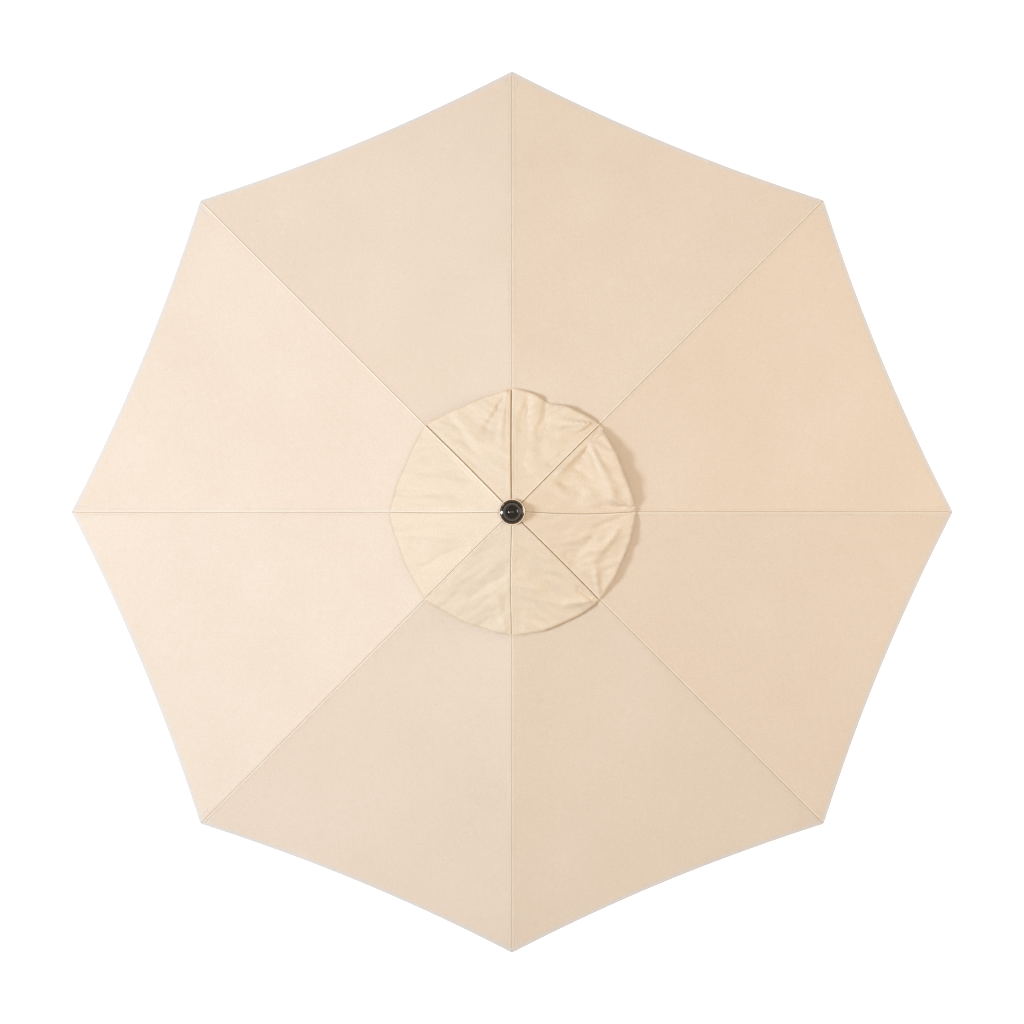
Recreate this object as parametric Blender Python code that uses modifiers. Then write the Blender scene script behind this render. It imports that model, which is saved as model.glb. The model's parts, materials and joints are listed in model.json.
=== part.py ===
"""A crank-lift market umbrella with a tilting top, standing in a round plate base.

Metres, +Z up. The origin is on the ground, on the pole's centre line. The umbrella is open and
upright. Rib 1 points along +X and the others follow every 45 degrees.
"""

import math

import bmesh
import bpy
from mathutils import Matrix, Vector

# ---------------------------------------------------------------- driving dimensions

GAP = 0.0003                        # between pieces that touch
TURN = 2 * math.pi
RIBS = 8
HALF_GORE = math.pi / RIBS

# canopy
RIM_RADIUS = 1.35                   # pole centre to a canopy corner
RIM_SCALLOP = 0.024                 # how far an edge curves in between two corners
CLOTH = 0.0012                      # thickness
CLOTH_LIFT = 0.0016                 # canopy over a rib's top, so that it clears the rib's corners
MOUTH_RADIUS = 0.235                # the canopy's own opening, under the vent cap
GORE_SAG = 0.012
VENT_RADIUS = 0.355                 # pole centre to a vent cap corner
VENT_BULGE = 0.018                  # how far a vent edge curves out between two corners
VENT_LIFT = 0.018                   # how far the vent cap's free edge stands up between two corners
VENT_APEX_Z = 2.390

# folding frame: hub pivot, elbow pivot and runner pivot make an isosceles triangle
HUB_PIVOT_Z = 2.36
PIVOT_RADIUS = 0.040                # hub and runner pivots, from the pole's centre
RIB_SLOPE = math.radians(20)        # below horizontal
RIB_WIDTH = 0.010
RIB_HEIGHT = 0.016
RIB_TIP_INSET = 0.006               # rib tip to canopy corner
ELBOW_ALONG = 0.60                  # hub pivot to elbow, along the rib
ELBOW_DROP = 0.0155                 # elbow pivot below the rib's centre line
STRUT_WIDTH = 0.008
STRUT_HEIGHT = 0.012
TUBE_WALL = 0.0008
PIN_RADIUS = 0.0017
PIN_HOLE = 0.0023

# hub and runner
HUB_RADIUS = 0.052
HUB_TOP = 0.014                     # above the hub pivots
HUB_BOTTOM = -0.014
HUB_SKIRT = -0.044
HUB_SLOT = 0.0115
SLOT_START = 0.0310                 # inner end of a slot, from the pole's centre
RUNNER_BORE = 0.0197
RUNNER_SLEEVE = 0.030
RUNNER_BOTTOM = -0.045
RUNNER_SLOT = 0.0095
RUNNER_KEYWAY = (0.026, 0.0085)     # reach and half-width of the groove that clears the tilt button

# poles
POLE_RADIUS = 0.019
POLE_BORE = 0.0175
PLUG_RADIUS = 0.0172                # what goes inside a pole
POLE_FOOT_Z = 0.0205
POLE_JOINT_Z = 0.660
SPIGOT_TOP_Z = 0.740
SPIGOT_BORE = 0.0155
MID_TOP_Z = 1.715
TOP_POLE_Z = 1.805
TOP_POLE_END_Z = 2.361

# lift cord pulley, in the pole under the hub
PULLEY_Z = 2.290
PULLEY_OFFSET = 0.007
PULLEY_RADIUS = 0.0135
PULLEY_HALF = 0.0035
AXLE_RADIUS = 0.0020

# tilt joint
TILT_Z = 1.745
KEY_AZIMUTH = HALF_GORE             # the button and the lean lie between two ribs
SHOULDER = 0.020                    # knuckle shoulders above and below the tilt axis
EAR_RADIUS = 0.0175
TONGUE_HALF = 0.0070
TILT_PIN = 0.0030
PLUG_DEPTH = 0.050
BUTTON_Z = 1.785
BUTTON_RADIUS = 0.0070
BUTTON_OUT = 0.0245                 # button face, from the pole's centre
BUTTON_IN = 0.0080
POCKET_FLOOR = -0.0070

# crank
CRANK_Z = 0.8225
HOUSING_HALF_X = 0.030
HOUSING_Z = (0.760, 0.885)
HOUSING_FRONT = -0.070
HOUSING_BACK = 0.030
SCREW_SEAT = 0.0265
SCREW_PLACES = ((-0.0245, 0.869), (0.0245, 0.776))
CAVITY_HALF = 0.0215
SPOOL_RADIUS = 0.0151
SPOOL_FLANGE = 0.0195
SPOOL_Y = (-0.0400, -0.0600)
SHAFT_RADIUS = 0.0040
SHAFT_Y = (-0.0340, -0.0850)
ARM_Y = -0.0790
ARM_HALF = 0.0045
ARM_LENGTH = 0.100
KNOB_Y = (-0.0870, -0.1450)
KNOB_PIN_RADIUS = 0.0030

# base
FOOT_HEIGHT = 0.004
PLATE_RADIUS = 0.280
PLATE_TOP_Z = 0.016
STEM_OUTER = 0.0255
STEM_INNER = 0.0235
STEM_TOP_Z = 0.400
FLANGE_RADIUS = 0.075
FLANGE_HEIGHT = 0.006
SLEEVE_BOTTOM_Z = 0.285
SLEEVE_TOP_Z = 0.413
BOLT_CIRCLE = 0.055
LOCK_Z = 0.345
LOCK_STUD = 0.0040

# finishes: colour, roughness, metallic
CLOTH_BEIGE = ((0.80, 0.68, 0.53), 0.85, 0.0)
PAINTED_STEEL = ((0.055, 0.050, 0.045), 0.45, 0.6)
BRIGHT_STEEL = ((0.62, 0.62, 0.63), 0.30, 1.0)
CHROME = ((0.70, 0.70, 0.71), 0.10, 1.0)
BLACK_GLOSS = ((0.012, 0.010, 0.010), 0.08, 0.0)
BLACK_PLASTIC = ((0.025, 0.024, 0.023), 0.50, 0.0)
RUBBER = ((0.02, 0.02, 0.02), 0.80, 0.0)


# ---------------------------------------------------------------- scene

def clear_scene():
    """Remove every object."""
    for item in list(bpy.data.objects):
        bpy.data.objects.remove(item, do_unlink=True)


def new_collection(name):
    """A collection linked to the scene."""
    collection = bpy.data.collections.new(name)
    bpy.context.scene.collection.children.link(collection)
    return collection


clear_scene()
PARTS = new_collection("patio_umbrella")
CUTTERS = new_collection("cutters")


# ---------------------------------------------------------------- shared tools

def spin(azimuth):
    """Rotation about the pole's centre line."""
    return Matrix.Rotation(azimuth, 4, "Z")


def azimuths(count=RIBS, start=0.0):
    """Evenly spaced angles round the pole."""
    return [start + TURN * step / count for step in range(count)]


def paint(item, finish):
    """Give an object a material of its own."""
    colour, roughness, metallic = finish
    material = bpy.data.materials.new(item.name)
    material.use_nodes = True
    shader = material.node_tree.nodes["Principled BSDF"]
    shader.inputs["Base Color"].default_value = (*colour, 1.0)
    shader.inputs["Roughness"].default_value = roughness
    shader.inputs["Metallic"].default_value = metallic
    item.data.materials.clear()
    item.data.materials.append(material)


def link_part(name, data, finish):
    """A visible sub-part."""
    item = bpy.data.objects.new(name, data)
    PARTS.objects.link(item)
    paint(item, finish)
    return item


def link_cutter(name, data):
    """A shape that only cuts or joins."""
    item = bpy.data.objects.new(name, data)
    CUTTERS.objects.link(item)
    item.hide_render = True
    item.display_type = "WIRE"
    return item


def mesh_of(name, bm, smooth=True):
    """Turn a bmesh into a mesh with smooth round sides and sharp corners."""
    bmesh.ops.recalc_face_normals(bm, faces=bm.faces)
    mesh = bpy.data.meshes.new(name)
    bm.to_mesh(mesh)
    bm.free()
    if smooth:
        mesh.shade_smooth()
        mesh.set_sharp_from_angle(angle=math.radians(40))
    return mesh


def add_box(bm, low, high, place=Matrix()):
    """Add a box between two corners."""
    low = Vector(low)
    high = Vector(high)
    size = Matrix.Diagonal((*(high - low), 1.0))
    bmesh.ops.create_cube(bm, size=1.0, matrix=place @ Matrix.Translation((low + high) / 2) @ size)


def add_rod(bm, start, end, radius, sides=16, place=Matrix(), end_radius=None):
    """Add a capped cylinder or cone between two points."""
    start = Vector(start)
    end = Vector(end)
    along = end - start
    aim = along.to_track_quat("Z", "Y").to_matrix().to_4x4()
    bmesh.ops.create_cone(
        bm,
        cap_ends=True,
        segments=sides,
        radius1=radius,
        radius2=radius if end_radius is None else end_radius,
        depth=along.length,
        matrix=place @ Matrix.Translation((start + end) / 2) @ aim,
    )


def box_mesh(name, low, high, place=Matrix()):
    """One box as a mesh."""
    bm = bmesh.new()
    add_box(bm, low, high, place)
    return mesh_of(name, bm, smooth=False)


def rod_mesh(name, start, end, radius, sides=16, place=Matrix()):
    """One cylinder as a mesh."""
    bm = bmesh.new()
    add_rod(bm, start, end, radius, sides, place)
    return mesh_of(name, bm)


def turned_data(name, profile, closed):
    """Edges of a profile in the XZ plane."""
    mesh = bpy.data.meshes.new(name)
    edges = [(step, step + 1) for step in range(len(profile) - 1)]
    if closed:
        edges.append((len(profile) - 1, 0))
    mesh.from_pydata([(radius, 0.0, height) for radius, height in profile], edges, [])
    return mesh


def turn(item, sides):
    """Sweep an object's profile round its own Z axis."""
    screw = item.modifiers.new("turn", "SCREW")
    screw.axis = "Z"
    screw.angle = TURN
    screw.steps = sides
    screw.render_steps = sides
    screw.use_merge_vertices = True
    screw.merge_threshold = 0.00001
    screw.use_smooth_shade = True


def turned_part(name, profile, finish, sides=32, closed=True, place=Matrix()):
    """A turned sub-part. The profile runs down its outer side, then back up its bore."""
    item = link_part(name, turned_data(name, profile, closed), finish)
    item.matrix_world = place
    turn(item, sides)
    return item


def combine(item, other, operation):
    """Cut or join with another object."""
    boolean = item.modifiers.new(operation.lower(), "BOOLEAN")
    boolean.operation = operation
    boolean.solver = "EXACT"
    boolean.object = other


def cut(item, mesh):
    """Cut a mesh out of an object."""
    combine(item, link_cutter(mesh.name, mesh), "DIFFERENCE")


def join(item, mesh):
    """Weld a mesh onto an object."""
    combine(item, link_cutter(mesh.name, mesh), "UNION")


def soften(item, width, segments=2):
    """Round the sharp edges."""
    bevel = item.modifiers.new("soften", "BEVEL")
    bevel.width = width
    bevel.segments = segments
    bevel.limit_method = "ANGLE"
    bevel.angle_limit = math.radians(40)


def baked(item):
    """An object's finished mesh, with its modifiers in it."""
    graph = bpy.context.evaluated_depsgraph_get()
    mesh = bpy.data.meshes.new_from_object(item.evaluated_get(graph))
    bm = bmesh.new()
    bm.from_mesh(mesh)
    bmesh.ops.remove_doubles(bm, verts=bm.verts, dist=0.00001)
    bm.to_mesh(mesh)
    bm.free()
    return mesh


def pivot(name, position):
    """An empty on a joint's axis."""
    empty = bpy.data.objects.new(name, None)
    PARTS.objects.link(empty)
    empty.matrix_world = Matrix.Translation(position)
    return empty


def hang(items, empty):
    """Parent sub-parts to an empty and leave them where they are."""
    bpy.context.view_layer.update()
    for item in items:
        item.parent = empty
        item.matrix_parent_inverse = empty.matrix_world.inverted()


def ring(outer, inner, low, high):
    """Profile of a plain ring or tube."""
    return [(outer, high), (outer, low), (inner, low), (inner, high)]


def outline_mesh(name, loops, half_thickness, edge=0.0):
    """A flat outline given a thickness along Z. The first loop is the outside, the rest are holes."""
    curve = bpy.data.curves.new(name, "CURVE")
    curve.dimensions = "2D"
    curve.fill_mode = "BOTH"
    curve.extrude = half_thickness - edge
    curve.bevel_depth = edge
    curve.bevel_resolution = 0
    curve.offset = -edge
    for loop in loops:
        spline = curve.splines.new("POLY")
        spline.points.add(len(loop) - 1)
        for point, (x, y) in zip(spline.points, loop):
            point.co = (x, y, 0.0, 1.0)
        spline.use_cyclic_u = True
    item = bpy.data.objects.new(name, curve)
    CUTTERS.objects.link(item)
    bpy.context.view_layer.update()
    mesh = baked(item)
    bpy.data.objects.remove(item, do_unlink=True)
    return mesh


def arc(centre, radius, start, end, steps):
    """Points along an arc, in degrees, with both ends."""
    points = []
    for step in range(steps + 1):
        angle = math.radians(start + (end - start) * step / steps)
        points.append((centre[0] + radius * math.cos(angle), centre[1] + radius * math.sin(angle)))
    return points


def circle(centre, radius, steps):
    """Points round a circle."""
    return arc(centre, radius, 0, 360 * (steps - 1) / steps, steps - 1)


# ---------------------------------------------------------------- the folding linkage

RIB_LENGTH = (RIM_RADIUS - RIB_TIP_INSET - PIVOT_RADIUS) / math.cos(RIB_SLOPE)
ELBOW_ARM = math.hypot(ELBOW_ALONG, ELBOW_DROP)
LINK_SLOPE = RIB_SLOPE + math.atan2(ELBOW_DROP, ELBOW_ALONG)
STRUT_LENGTH = ELBOW_ARM
ELBOW_FALL = ELBOW_ARM * math.sin(LINK_SLOPE)
RUNNER_PIVOT_Z = HUB_PIVOT_Z - 2 * ELBOW_FALL


def rib_place(azimuth):
    """A rib's frame at its hub pivot: +X runs out along the rib and +Z is its upper side."""
    out = Matrix.Translation((PIVOT_RADIUS, 0.0, HUB_PIVOT_Z))
    return spin(azimuth) @ out @ Matrix.Rotation(RIB_SLOPE, 4, "Y")


def strut_place(azimuth):
    """A strut's frame at its elbow: +X runs in along the strut to the runner."""
    elbow = (PIVOT_RADIUS + ELBOW_ARM * math.cos(LINK_SLOPE), 0.0, HUB_PIVOT_Z - ELBOW_FALL)
    return spin(azimuth) @ Matrix.Translation(elbow) @ Matrix.Rotation(math.pi - LINK_SLOPE, 4, "Y")


def rib_top_z(radius):
    """Height of the ribs' upper face at a distance from the pole's centre."""
    return (
        HUB_PIVOT_Z
        - (radius - PIVOT_RADIUS) * math.tan(RIB_SLOPE)
        + RIB_HEIGHT / 2 / math.cos(RIB_SLOPE)
    )


# ---------------------------------------------------------------- canopy and vent cap

def gore_grid(name, inner, outer, bow_in, seam_z, bow, rows, columns):
    """The upper skin of an eight-sided canopy, as one sheet.

    inner and outer are corner radii, bow_in is how far the outer edge curves in between corners,
    seam_z gives the seams' height at a radius, and bow how far a gore's middle drops at a row.
    """
    bm = bmesh.new()
    rings = []
    for row in range(rows + 1):
        share = row / rows
        around = []
        for step in range(RIBS * columns):
            gore, column = divmod(step, columns)
            across = 2 * column / columns - 1
            crown = 1 - across * across
            reach_out = outer * math.cos(HALF_GORE) - bow_in * crown
            reach = inner * math.cos(HALF_GORE) * (1 - share) + reach_out * share
            height = seam_z(reach / math.cos(HALF_GORE)) - bow(share) * crown
            flat = Vector((reach, across * reach * math.tan(HALF_GORE), height))
            around.append(bm.verts.new(spin(HALF_GORE * (2 * gore + 1)) @ flat))
        rings.append(around)
    for upper, lower in zip(rings, rings[1:]):
        for step in range(len(upper)):
            after = (step + 1) % len(upper)
            bm.faces.new((upper[step], lower[step], lower[after], upper[after]))
    mesh = bpy.data.meshes.new(name)
    bm.to_mesh(mesh)
    bm.free()
    mesh.shade_smooth()
    return mesh


def thicken(item):
    """Give a sheet the cloth's thickness, above the skin."""
    solid = item.modifiers.new("cloth", "SOLIDIFY")
    solid.thickness = CLOTH
    solid.offset = 1.0
    solid.use_even_offset = True


def canopy():
    """The main canopy: eight gores sewn into one sheet over the ribs."""
    def seam_z(radius):
        return rib_top_z(radius) + CLOTH_LIFT

    def bow(share):
        return GORE_SAG * math.sin(math.pi * share)

    mesh = gore_grid("canopy", MOUTH_RADIUS, RIM_RADIUS, RIM_SCALLOP, seam_z, bow, 4, 6)
    thicken(link_part("canopy", mesh, CLOTH_BEIGE))


def vent_cap():
    """The small upper tier, held at the finial and over each rib, with its edge free between."""
    hole = 0.0145
    clearance = 0.0045
    edge_z = rib_top_z(VENT_RADIUS) + CLOTH_LIFT + CLOTH + clearance
    slope = (VENT_APEX_Z - edge_z) / (VENT_RADIUS - hole)

    def seam_z(radius):
        return VENT_APEX_Z - slope * (radius - hole)

    def bow(share):
        return -VENT_LIFT * share * share

    mesh = gore_grid("vent_cap", hole, VENT_RADIUS, -VENT_BULGE, seam_z, bow, 3, 6)
    thicken(link_part("vent_cap", mesh, CLOTH_BEIGE))


# ---------------------------------------------------------------- ribs, tips and struts

def slim_tube(name, start, end, width, height, finish):
    """A thin-walled rectangular tube along X, open at both ends."""
    outside = box_mesh(name, (start, -width / 2, -height / 2), (end, width / 2, height / 2))
    item = link_part(name, outside, finish)
    soften(item, 0.0012, 1)
    inside = TUBE_WALL
    low = (start - 0.01, inside - width / 2, inside - height / 2)
    high = (end + 0.01, width / 2 - inside, height / 2 - inside)
    cut(item, box_mesh(name + "_bore", low, high))
    return item


def tongue_mesh(name, centre, reach, thickness, height):
    """A flat end round a pivot: a disc on the pivot and a tail that runs into the tube."""
    half = height / 2
    top = arc(centre, half, 90, 270, 6)
    if reach < centre[0]:
        top = arc(centre, half, -90, 90, 6)
    tail = [(reach, top[-1][1]), (reach, top[0][1])]
    loops = [top + tail, circle(centre, PIN_HOLE, 8)]
    mesh = outline_mesh(name, loops, thickness / 2)
    mesh.transform(Matrix.Rotation(math.pi / 2, 4, "X"))
    return mesh


def elbow_bracket_mesh():
    """Two cheeks that hang from the rib on either side of the strut's end."""
    inner = RIB_WIDTH / 2 - TUBE_WALL / 2
    outer = RIB_WIDTH / 2 + 0.002
    half = 0.008
    round_end = arc((ELBOW_ALONG, -ELBOW_DROP), half, 180, 360, 5)
    top = [(ELBOW_ALONG + 0.014, -0.002), (ELBOW_ALONG + 0.014, 0.004)]
    top += [(ELBOW_ALONG - 0.014, 0.004), (ELBOW_ALONG - 0.014, -0.002)]
    bm = bmesh.new()
    for side in (-1, 1):
        cheek = outline_mesh("cheek", [round_end + top], (outer - inner) / 2)
        cheek.transform(Matrix.Rotation(math.pi / 2, 4, "X"))
        cheek.transform(Matrix.Translation((0.0, side * (outer + inner) / 2, 0.0)))
        bm.from_mesh(cheek)
    return mesh_of("elbow_bracket", bm, smooth=False)


def rib_mesh():
    """A rib along X from its hub pivot, with its elbow bracket and the rivet in it."""
    tongue = 0.0055
    item = slim_tube("rib_blank", 0.014, RIB_LENGTH, RIB_WIDTH, RIB_HEIGHT, PAINTED_STEEL)
    join(item, tongue_mesh("rib_tongue", (0.0, 0.0), 0.060, tongue, RIB_HEIGHT))
    join(item, elbow_bracket_mesh())
    rivet = RIB_WIDTH / 2 + 0.0028
    at = (ELBOW_ALONG, -ELBOW_DROP)
    join(item, rod_mesh("rivet", (at[0], -rivet, at[1]), (at[0], rivet, at[1]), PIN_RADIUS, 8))
    bpy.context.view_layer.update()
    mesh = baked(item)
    bpy.data.objects.remove(item, do_unlink=True)
    return mesh


def strut_mesh():
    """A strut along X from its elbow to the runner pivot."""
    tongue = 0.0040
    tail = 0.045
    item = slim_tube(
        "strut_blank", 0.012, STRUT_LENGTH - 0.012, STRUT_WIDTH, STRUT_HEIGHT, PAINTED_STEEL
    )
    join(item, tongue_mesh("elbow_tongue", (0.0, 0.0), tail, tongue, STRUT_HEIGHT))
    inner_end = (STRUT_LENGTH, 0.0)
    join(item, tongue_mesh("runner_tongue", inner_end, STRUT_LENGTH - tail, tongue, STRUT_HEIGHT))
    bpy.context.view_layer.update()
    mesh = baked(item)
    bpy.data.objects.remove(item, do_unlink=True)
    return mesh


def folding_frame():
    """Eight ribs and their struts."""
    rib_data = rib_mesh()
    strut_data = strut_mesh()
    for number, azimuth in enumerate(azimuths(), start=1):
        rib = link_part(f"rib_{number}", rib_data.copy(), PAINTED_STEEL)
        strut = link_part(f"strut_{number}", strut_data.copy(), PAINTED_STEEL)
        rib.matrix_world = rib_place(azimuth)
        strut.matrix_world = strut_place(azimuth)


# ---------------------------------------------------------------- hub and runner

def slots_mesh(name, width, height_at):
    """Eight radial slots, open at the outside."""
    bm = bmesh.new()
    for azimuth in azimuths():
        low = (SLOT_START, -width / 2, height_at - 0.030)
        high = (HUB_RADIUS + 0.010, width / 2, height_at + 0.030)
        add_box(bm, low, high, spin(azimuth))
    return mesh_of(name, bm, smooth=False)


def wire_profile(height_at, radius, points=6):
    """Section of the wire ring that runs round through the pivots, down its outer side first."""
    section = []
    for step in range(points):
        angle = TURN * step / points
        section.append((PIVOT_RADIUS + radius * math.sin(angle), height_at + radius * math.cos(angle)))
    return section


def ring_tunnel(item, height_at):
    """Cut the round tunnel that a wire ring lies in."""
    name = item.name + "_tunnel"
    cutter = link_cutter(name, turned_data(name, wire_profile(height_at, PIN_HOLE), True))
    turn(cutter, 32)
    combine(item, cutter, "DIFFERENCE")


def top_hub():
    """The slotted head on the pole: a socket below, slots for the ribs and a boss for the finial."""
    socket = POLE_RADIUS + GAP
    base = HUB_PIVOT_Z
    profile = [
        (0.0, VENT_APEX_Z + 0.002),
        (0.0120, VENT_APEX_Z + 0.002),
        (0.0120, base + HUB_TOP),
        (HUB_RADIUS - 0.004, base + HUB_TOP),
        (HUB_RADIUS, base + HUB_TOP - 0.003),
        (HUB_RADIUS, base + HUB_BOTTOM),
        (0.0270, base + HUB_BOTTOM),
        (0.0250, base + HUB_SKIRT),
        (socket, base + HUB_SKIRT),
        (socket, base + 0.002),
        (0.0, base + 0.002),
    ]
    hub = turned_part("top_hub", profile, BLACK_PLASTIC, sides=32, closed=False)
    cut(hub, slots_mesh("hub_slots", HUB_SLOT, HUB_PIVOT_Z + 0.012))
    ring_tunnel(hub, HUB_PIVOT_Z)
    cut(hub, rod_mesh("finial_thread", (0, 0, VENT_APEX_Z - 0.014), (0, 0, VENT_APEX_Z + 0.01), 0.0043))
    turned_part("hub_ring", wire_profile(HUB_PIVOT_Z, PIN_RADIUS), BRIGHT_STEEL)


def runner():
    """The sleeve that slides on the pole and pushes the struts."""
    base = RUNNER_PIVOT_Z
    profile = [
        (HUB_RADIUS - 0.003, base + 0.009),
        (HUB_RADIUS, base + 0.006),
        (HUB_RADIUS, base - 0.007),
        (HUB_RADIUS - 0.004, base - 0.011),
        (RUNNER_SLEEVE, base - 0.014),
        (RUNNER_SLEEVE, base + RUNNER_BOTTOM + 0.003),
        (RUNNER_SLEEVE - 0.003, base + RUNNER_BOTTOM),
        (RUNNER_BORE, base + RUNNER_BOTTOM),
        (RUNNER_BORE, base + 0.009),
    ]
    body = turned_part("runner", profile, BLACK_PLASTIC)
    cut(body, slots_mesh("runner_slots", RUNNER_SLOT, RUNNER_PIVOT_Z))
    ring_tunnel(body, base)
    reach, half = RUNNER_KEYWAY
    low = (0.0, -half, base + RUNNER_BOTTOM - 0.01)
    high = (reach, half, base + 0.02)
    cut(body, box_mesh("keyway", low, high, spin(KEY_AZIMUTH)))
    wire = turned_part("runner_ring", wire_profile(base, PIN_RADIUS), BRIGHT_STEEL)
    hang([body, wire], pivot("runner_pivot", (PIVOT_RADIUS, 0.0, base)))


# ---------------------------------------------------------------- pole, pulley and finial

def poles():
    """Three lengths of round tube, the plug in the foot and the collar over the joint."""
    lower = [
        (PLUG_RADIUS, SPIGOT_TOP_Z),
        (PLUG_RADIUS, POLE_JOINT_Z),
        (POLE_RADIUS, POLE_JOINT_Z - 0.002),
        (POLE_RADIUS, POLE_FOOT_Z),
        (POLE_BORE, POLE_FOOT_Z),
        (POLE_BORE, POLE_JOINT_Z - 0.010),
        (SPIGOT_BORE, POLE_JOINT_Z - 0.006),
        (SPIGOT_BORE, SPIGOT_TOP_Z),
    ]
    turned_part("lower_pole", lower, PAINTED_STEEL)
    middle = turned_part(
        "mid_pole", ring(POLE_RADIUS, POLE_BORE, POLE_JOINT_Z + GAP, MID_TOP_Z), PAINTED_STEEL
    )
    window = ((-0.006, -0.030, CRANK_Z - 0.020), (0.006, -0.010, CRANK_Z + 0.020))
    cut(middle, box_mesh("cord_window", *window))
    upper = ring(POLE_RADIUS, POLE_BORE, TOP_POLE_Z + GAP, TOP_POLE_END_Z)
    top = turned_part("top_pole", upper, PAINTED_STEEL)
    cut_pulley_slot(top)
    foot = [
        (0.0, POLE_FOOT_Z + 0.020),
        (PLUG_RADIUS, POLE_FOOT_Z + 0.020),
        (PLUG_RADIUS, POLE_FOOT_Z - GAP),
        (POLE_RADIUS, POLE_FOOT_Z - GAP),
        (POLE_RADIUS, PLATE_TOP_Z + GAP),
        (0.0, PLATE_TOP_Z + GAP),
    ]
    turned_part("pole_foot", foot, BLACK_PLASTIC, closed=False)
    collar = [
        (0.0210, POLE_JOINT_Z + 0.018),
        (0.0225, POLE_JOINT_Z + 0.014),
        (0.0225, POLE_JOINT_Z - 0.014),
        (0.0210, POLE_JOINT_Z - 0.018),
        (POLE_RADIUS + GAP, POLE_JOINT_Z - 0.018),
        (POLE_RADIUS + GAP, POLE_JOINT_Z + 0.018),
    ]
    turned_part("pole_joint", collar, BLACK_PLASTIC)


def cut_pulley_slot(pole):
    """The slot that the pulley looks out of, and the holes for its axle."""
    low = (0.0, -PULLEY_HALF - 0.0012, PULLEY_Z - 0.019)
    high = (0.030, PULLEY_HALF + 0.0012, PULLEY_Z + 0.019)
    cut(pole, box_mesh("pulley_slot", low, high, spin(KEY_AZIMUTH)))
    start = (PULLEY_OFFSET, -0.030, PULLEY_Z)
    end = (PULLEY_OFFSET, 0.030, PULLEY_Z)
    cut(pole, rod_mesh("axle_holes", start, end, AXLE_RADIUS + 0.0005, 12, spin(KEY_AZIMUTH)))


def pulley():
    """The grooved wheel that the lift cord runs over, on a pin across the pole."""
    bore = AXLE_RADIUS + 0.0005
    groove = PULLEY_RADIUS - 0.0025
    profile = [
        (PULLEY_RADIUS - 0.0005, PULLEY_HALF),
        (PULLEY_RADIUS, PULLEY_HALF - 0.0008),
        (groove, 0.0006),
        (groove, -0.0006),
        (PULLEY_RADIUS, 0.0008 - PULLEY_HALF),
        (PULLEY_RADIUS - 0.0005, -PULLEY_HALF),
        (bore, -PULLEY_HALF),
        (bore, PULLEY_HALF),
    ]
    place = spin(KEY_AZIMUTH) @ Matrix.Translation((PULLEY_OFFSET, 0.0, PULLEY_Z))
    place = place @ Matrix.Rotation(math.pi / 2, 4, "X")
    turned_part("pulley", profile, BLACK_PLASTIC, sides=24, place=place)
    half = 0.0185
    start = (PULLEY_OFFSET, -half, PULLEY_Z)
    end = (PULLEY_OFFSET, half, PULLEY_Z)
    axle = rod_mesh("pulley_pin", start, end, AXLE_RADIUS, 12, spin(KEY_AZIMUTH))
    link_part("pulley_pin", axle, BRIGHT_STEEL)


def finial():
    """A bright collar on the vent cap and a black knob screwed through it into the hub."""
    seat = VENT_APEX_Z + CLOTH + 0.0014
    fall = 0.0090
    collar = [
        (0.0290, seat + 0.0085),
        (0.0315, seat + 0.0080),
        (0.0345, seat + 0.0055),
        (0.0362, seat + 0.0020),
        (0.0366, seat - 0.0030),
        (0.0358, seat - fall + 0.0010),
        (0.0120, seat),
        (0.0120, seat + 0.0045),
        (0.0285, seat + 0.0050),
    ]
    turned_part("finial_ring", collar, CHROME)
    low = seat + 0.0055
    knob = [(0.0, low + 0.0380)]
    for point in arc((0.0, 0.0), 1.0, 75, 0, 5):
        knob.append((0.0272 * point[0], low + 0.0080 + 0.0300 * point[1]))
    knob += [(0.0262, low + 0.0020), (0.0252, low), (0.0040, low)]
    knob += [(0.0040, VENT_APEX_Z - 0.0120), (0.0, VENT_APEX_Z - 0.0120)]
    turned_part("finial_knob", knob, BLACK_GLOSS, closed=False)


# ---------------------------------------------------------------- tilt joint

def knuckle_outline(name, sign, pole_end):
    """Side view of a knuckle, as a block: the round end on the tilt axis, then the full-width body."""
    wide = POLE_RADIUS + 0.01
    end = sign * (pole_end - TILT_Z)
    loop = arc((0.0, 0.0), EAR_RADIUS, 0, 180, 16)
    loop += [(-EAR_RADIUS, -SHOULDER), (-wide, -SHOULDER), (-wide, end)]
    loop += [(wide, end), (wide, -SHOULDER), (EAR_RADIUS, -SHOULDER)]
    mesh = outline_mesh(name, [[(x, sign * z) for x, z in loop]], wide)
    mesh.transform(Matrix.Rotation(math.pi / 2, 4, "X"))
    mesh.transform(spin(KEY_AZIMUTH) @ Matrix.Translation((0.0, 0.0, TILT_Z)))
    return mesh


def knuckle(name, sign, pole_end):
    """Half of the tilt joint: a plug for its pole, a shoulder and a round end."""
    key = spin(KEY_AZIMUTH)
    low, high = sorted((pole_end, TILT_Z + sign * (EAR_RADIUS + 0.004)))
    item = link_part(name, rod_mesh(name, (0, 0, low), (0, 0, high), POLE_RADIUS, 32), PAINTED_STEEL)
    side_view = link_cutter(name + "_side", knuckle_outline(name + "_side", sign, pole_end))
    combine(item, side_view, "INTERSECT")
    low, high = sorted((pole_end + sign * 0.004, pole_end - sign * PLUG_DEPTH))
    join(item, rod_mesh(name + "_plug", (0, 0, low), (0, 0, high), PLUG_RADIUS, 32))
    cut(item, rod_mesh(name + "_hole", (0, -0.03, TILT_Z), (0, 0.03, TILT_Z), TILT_PIN + 0.0004, 16, key))
    return item


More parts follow.
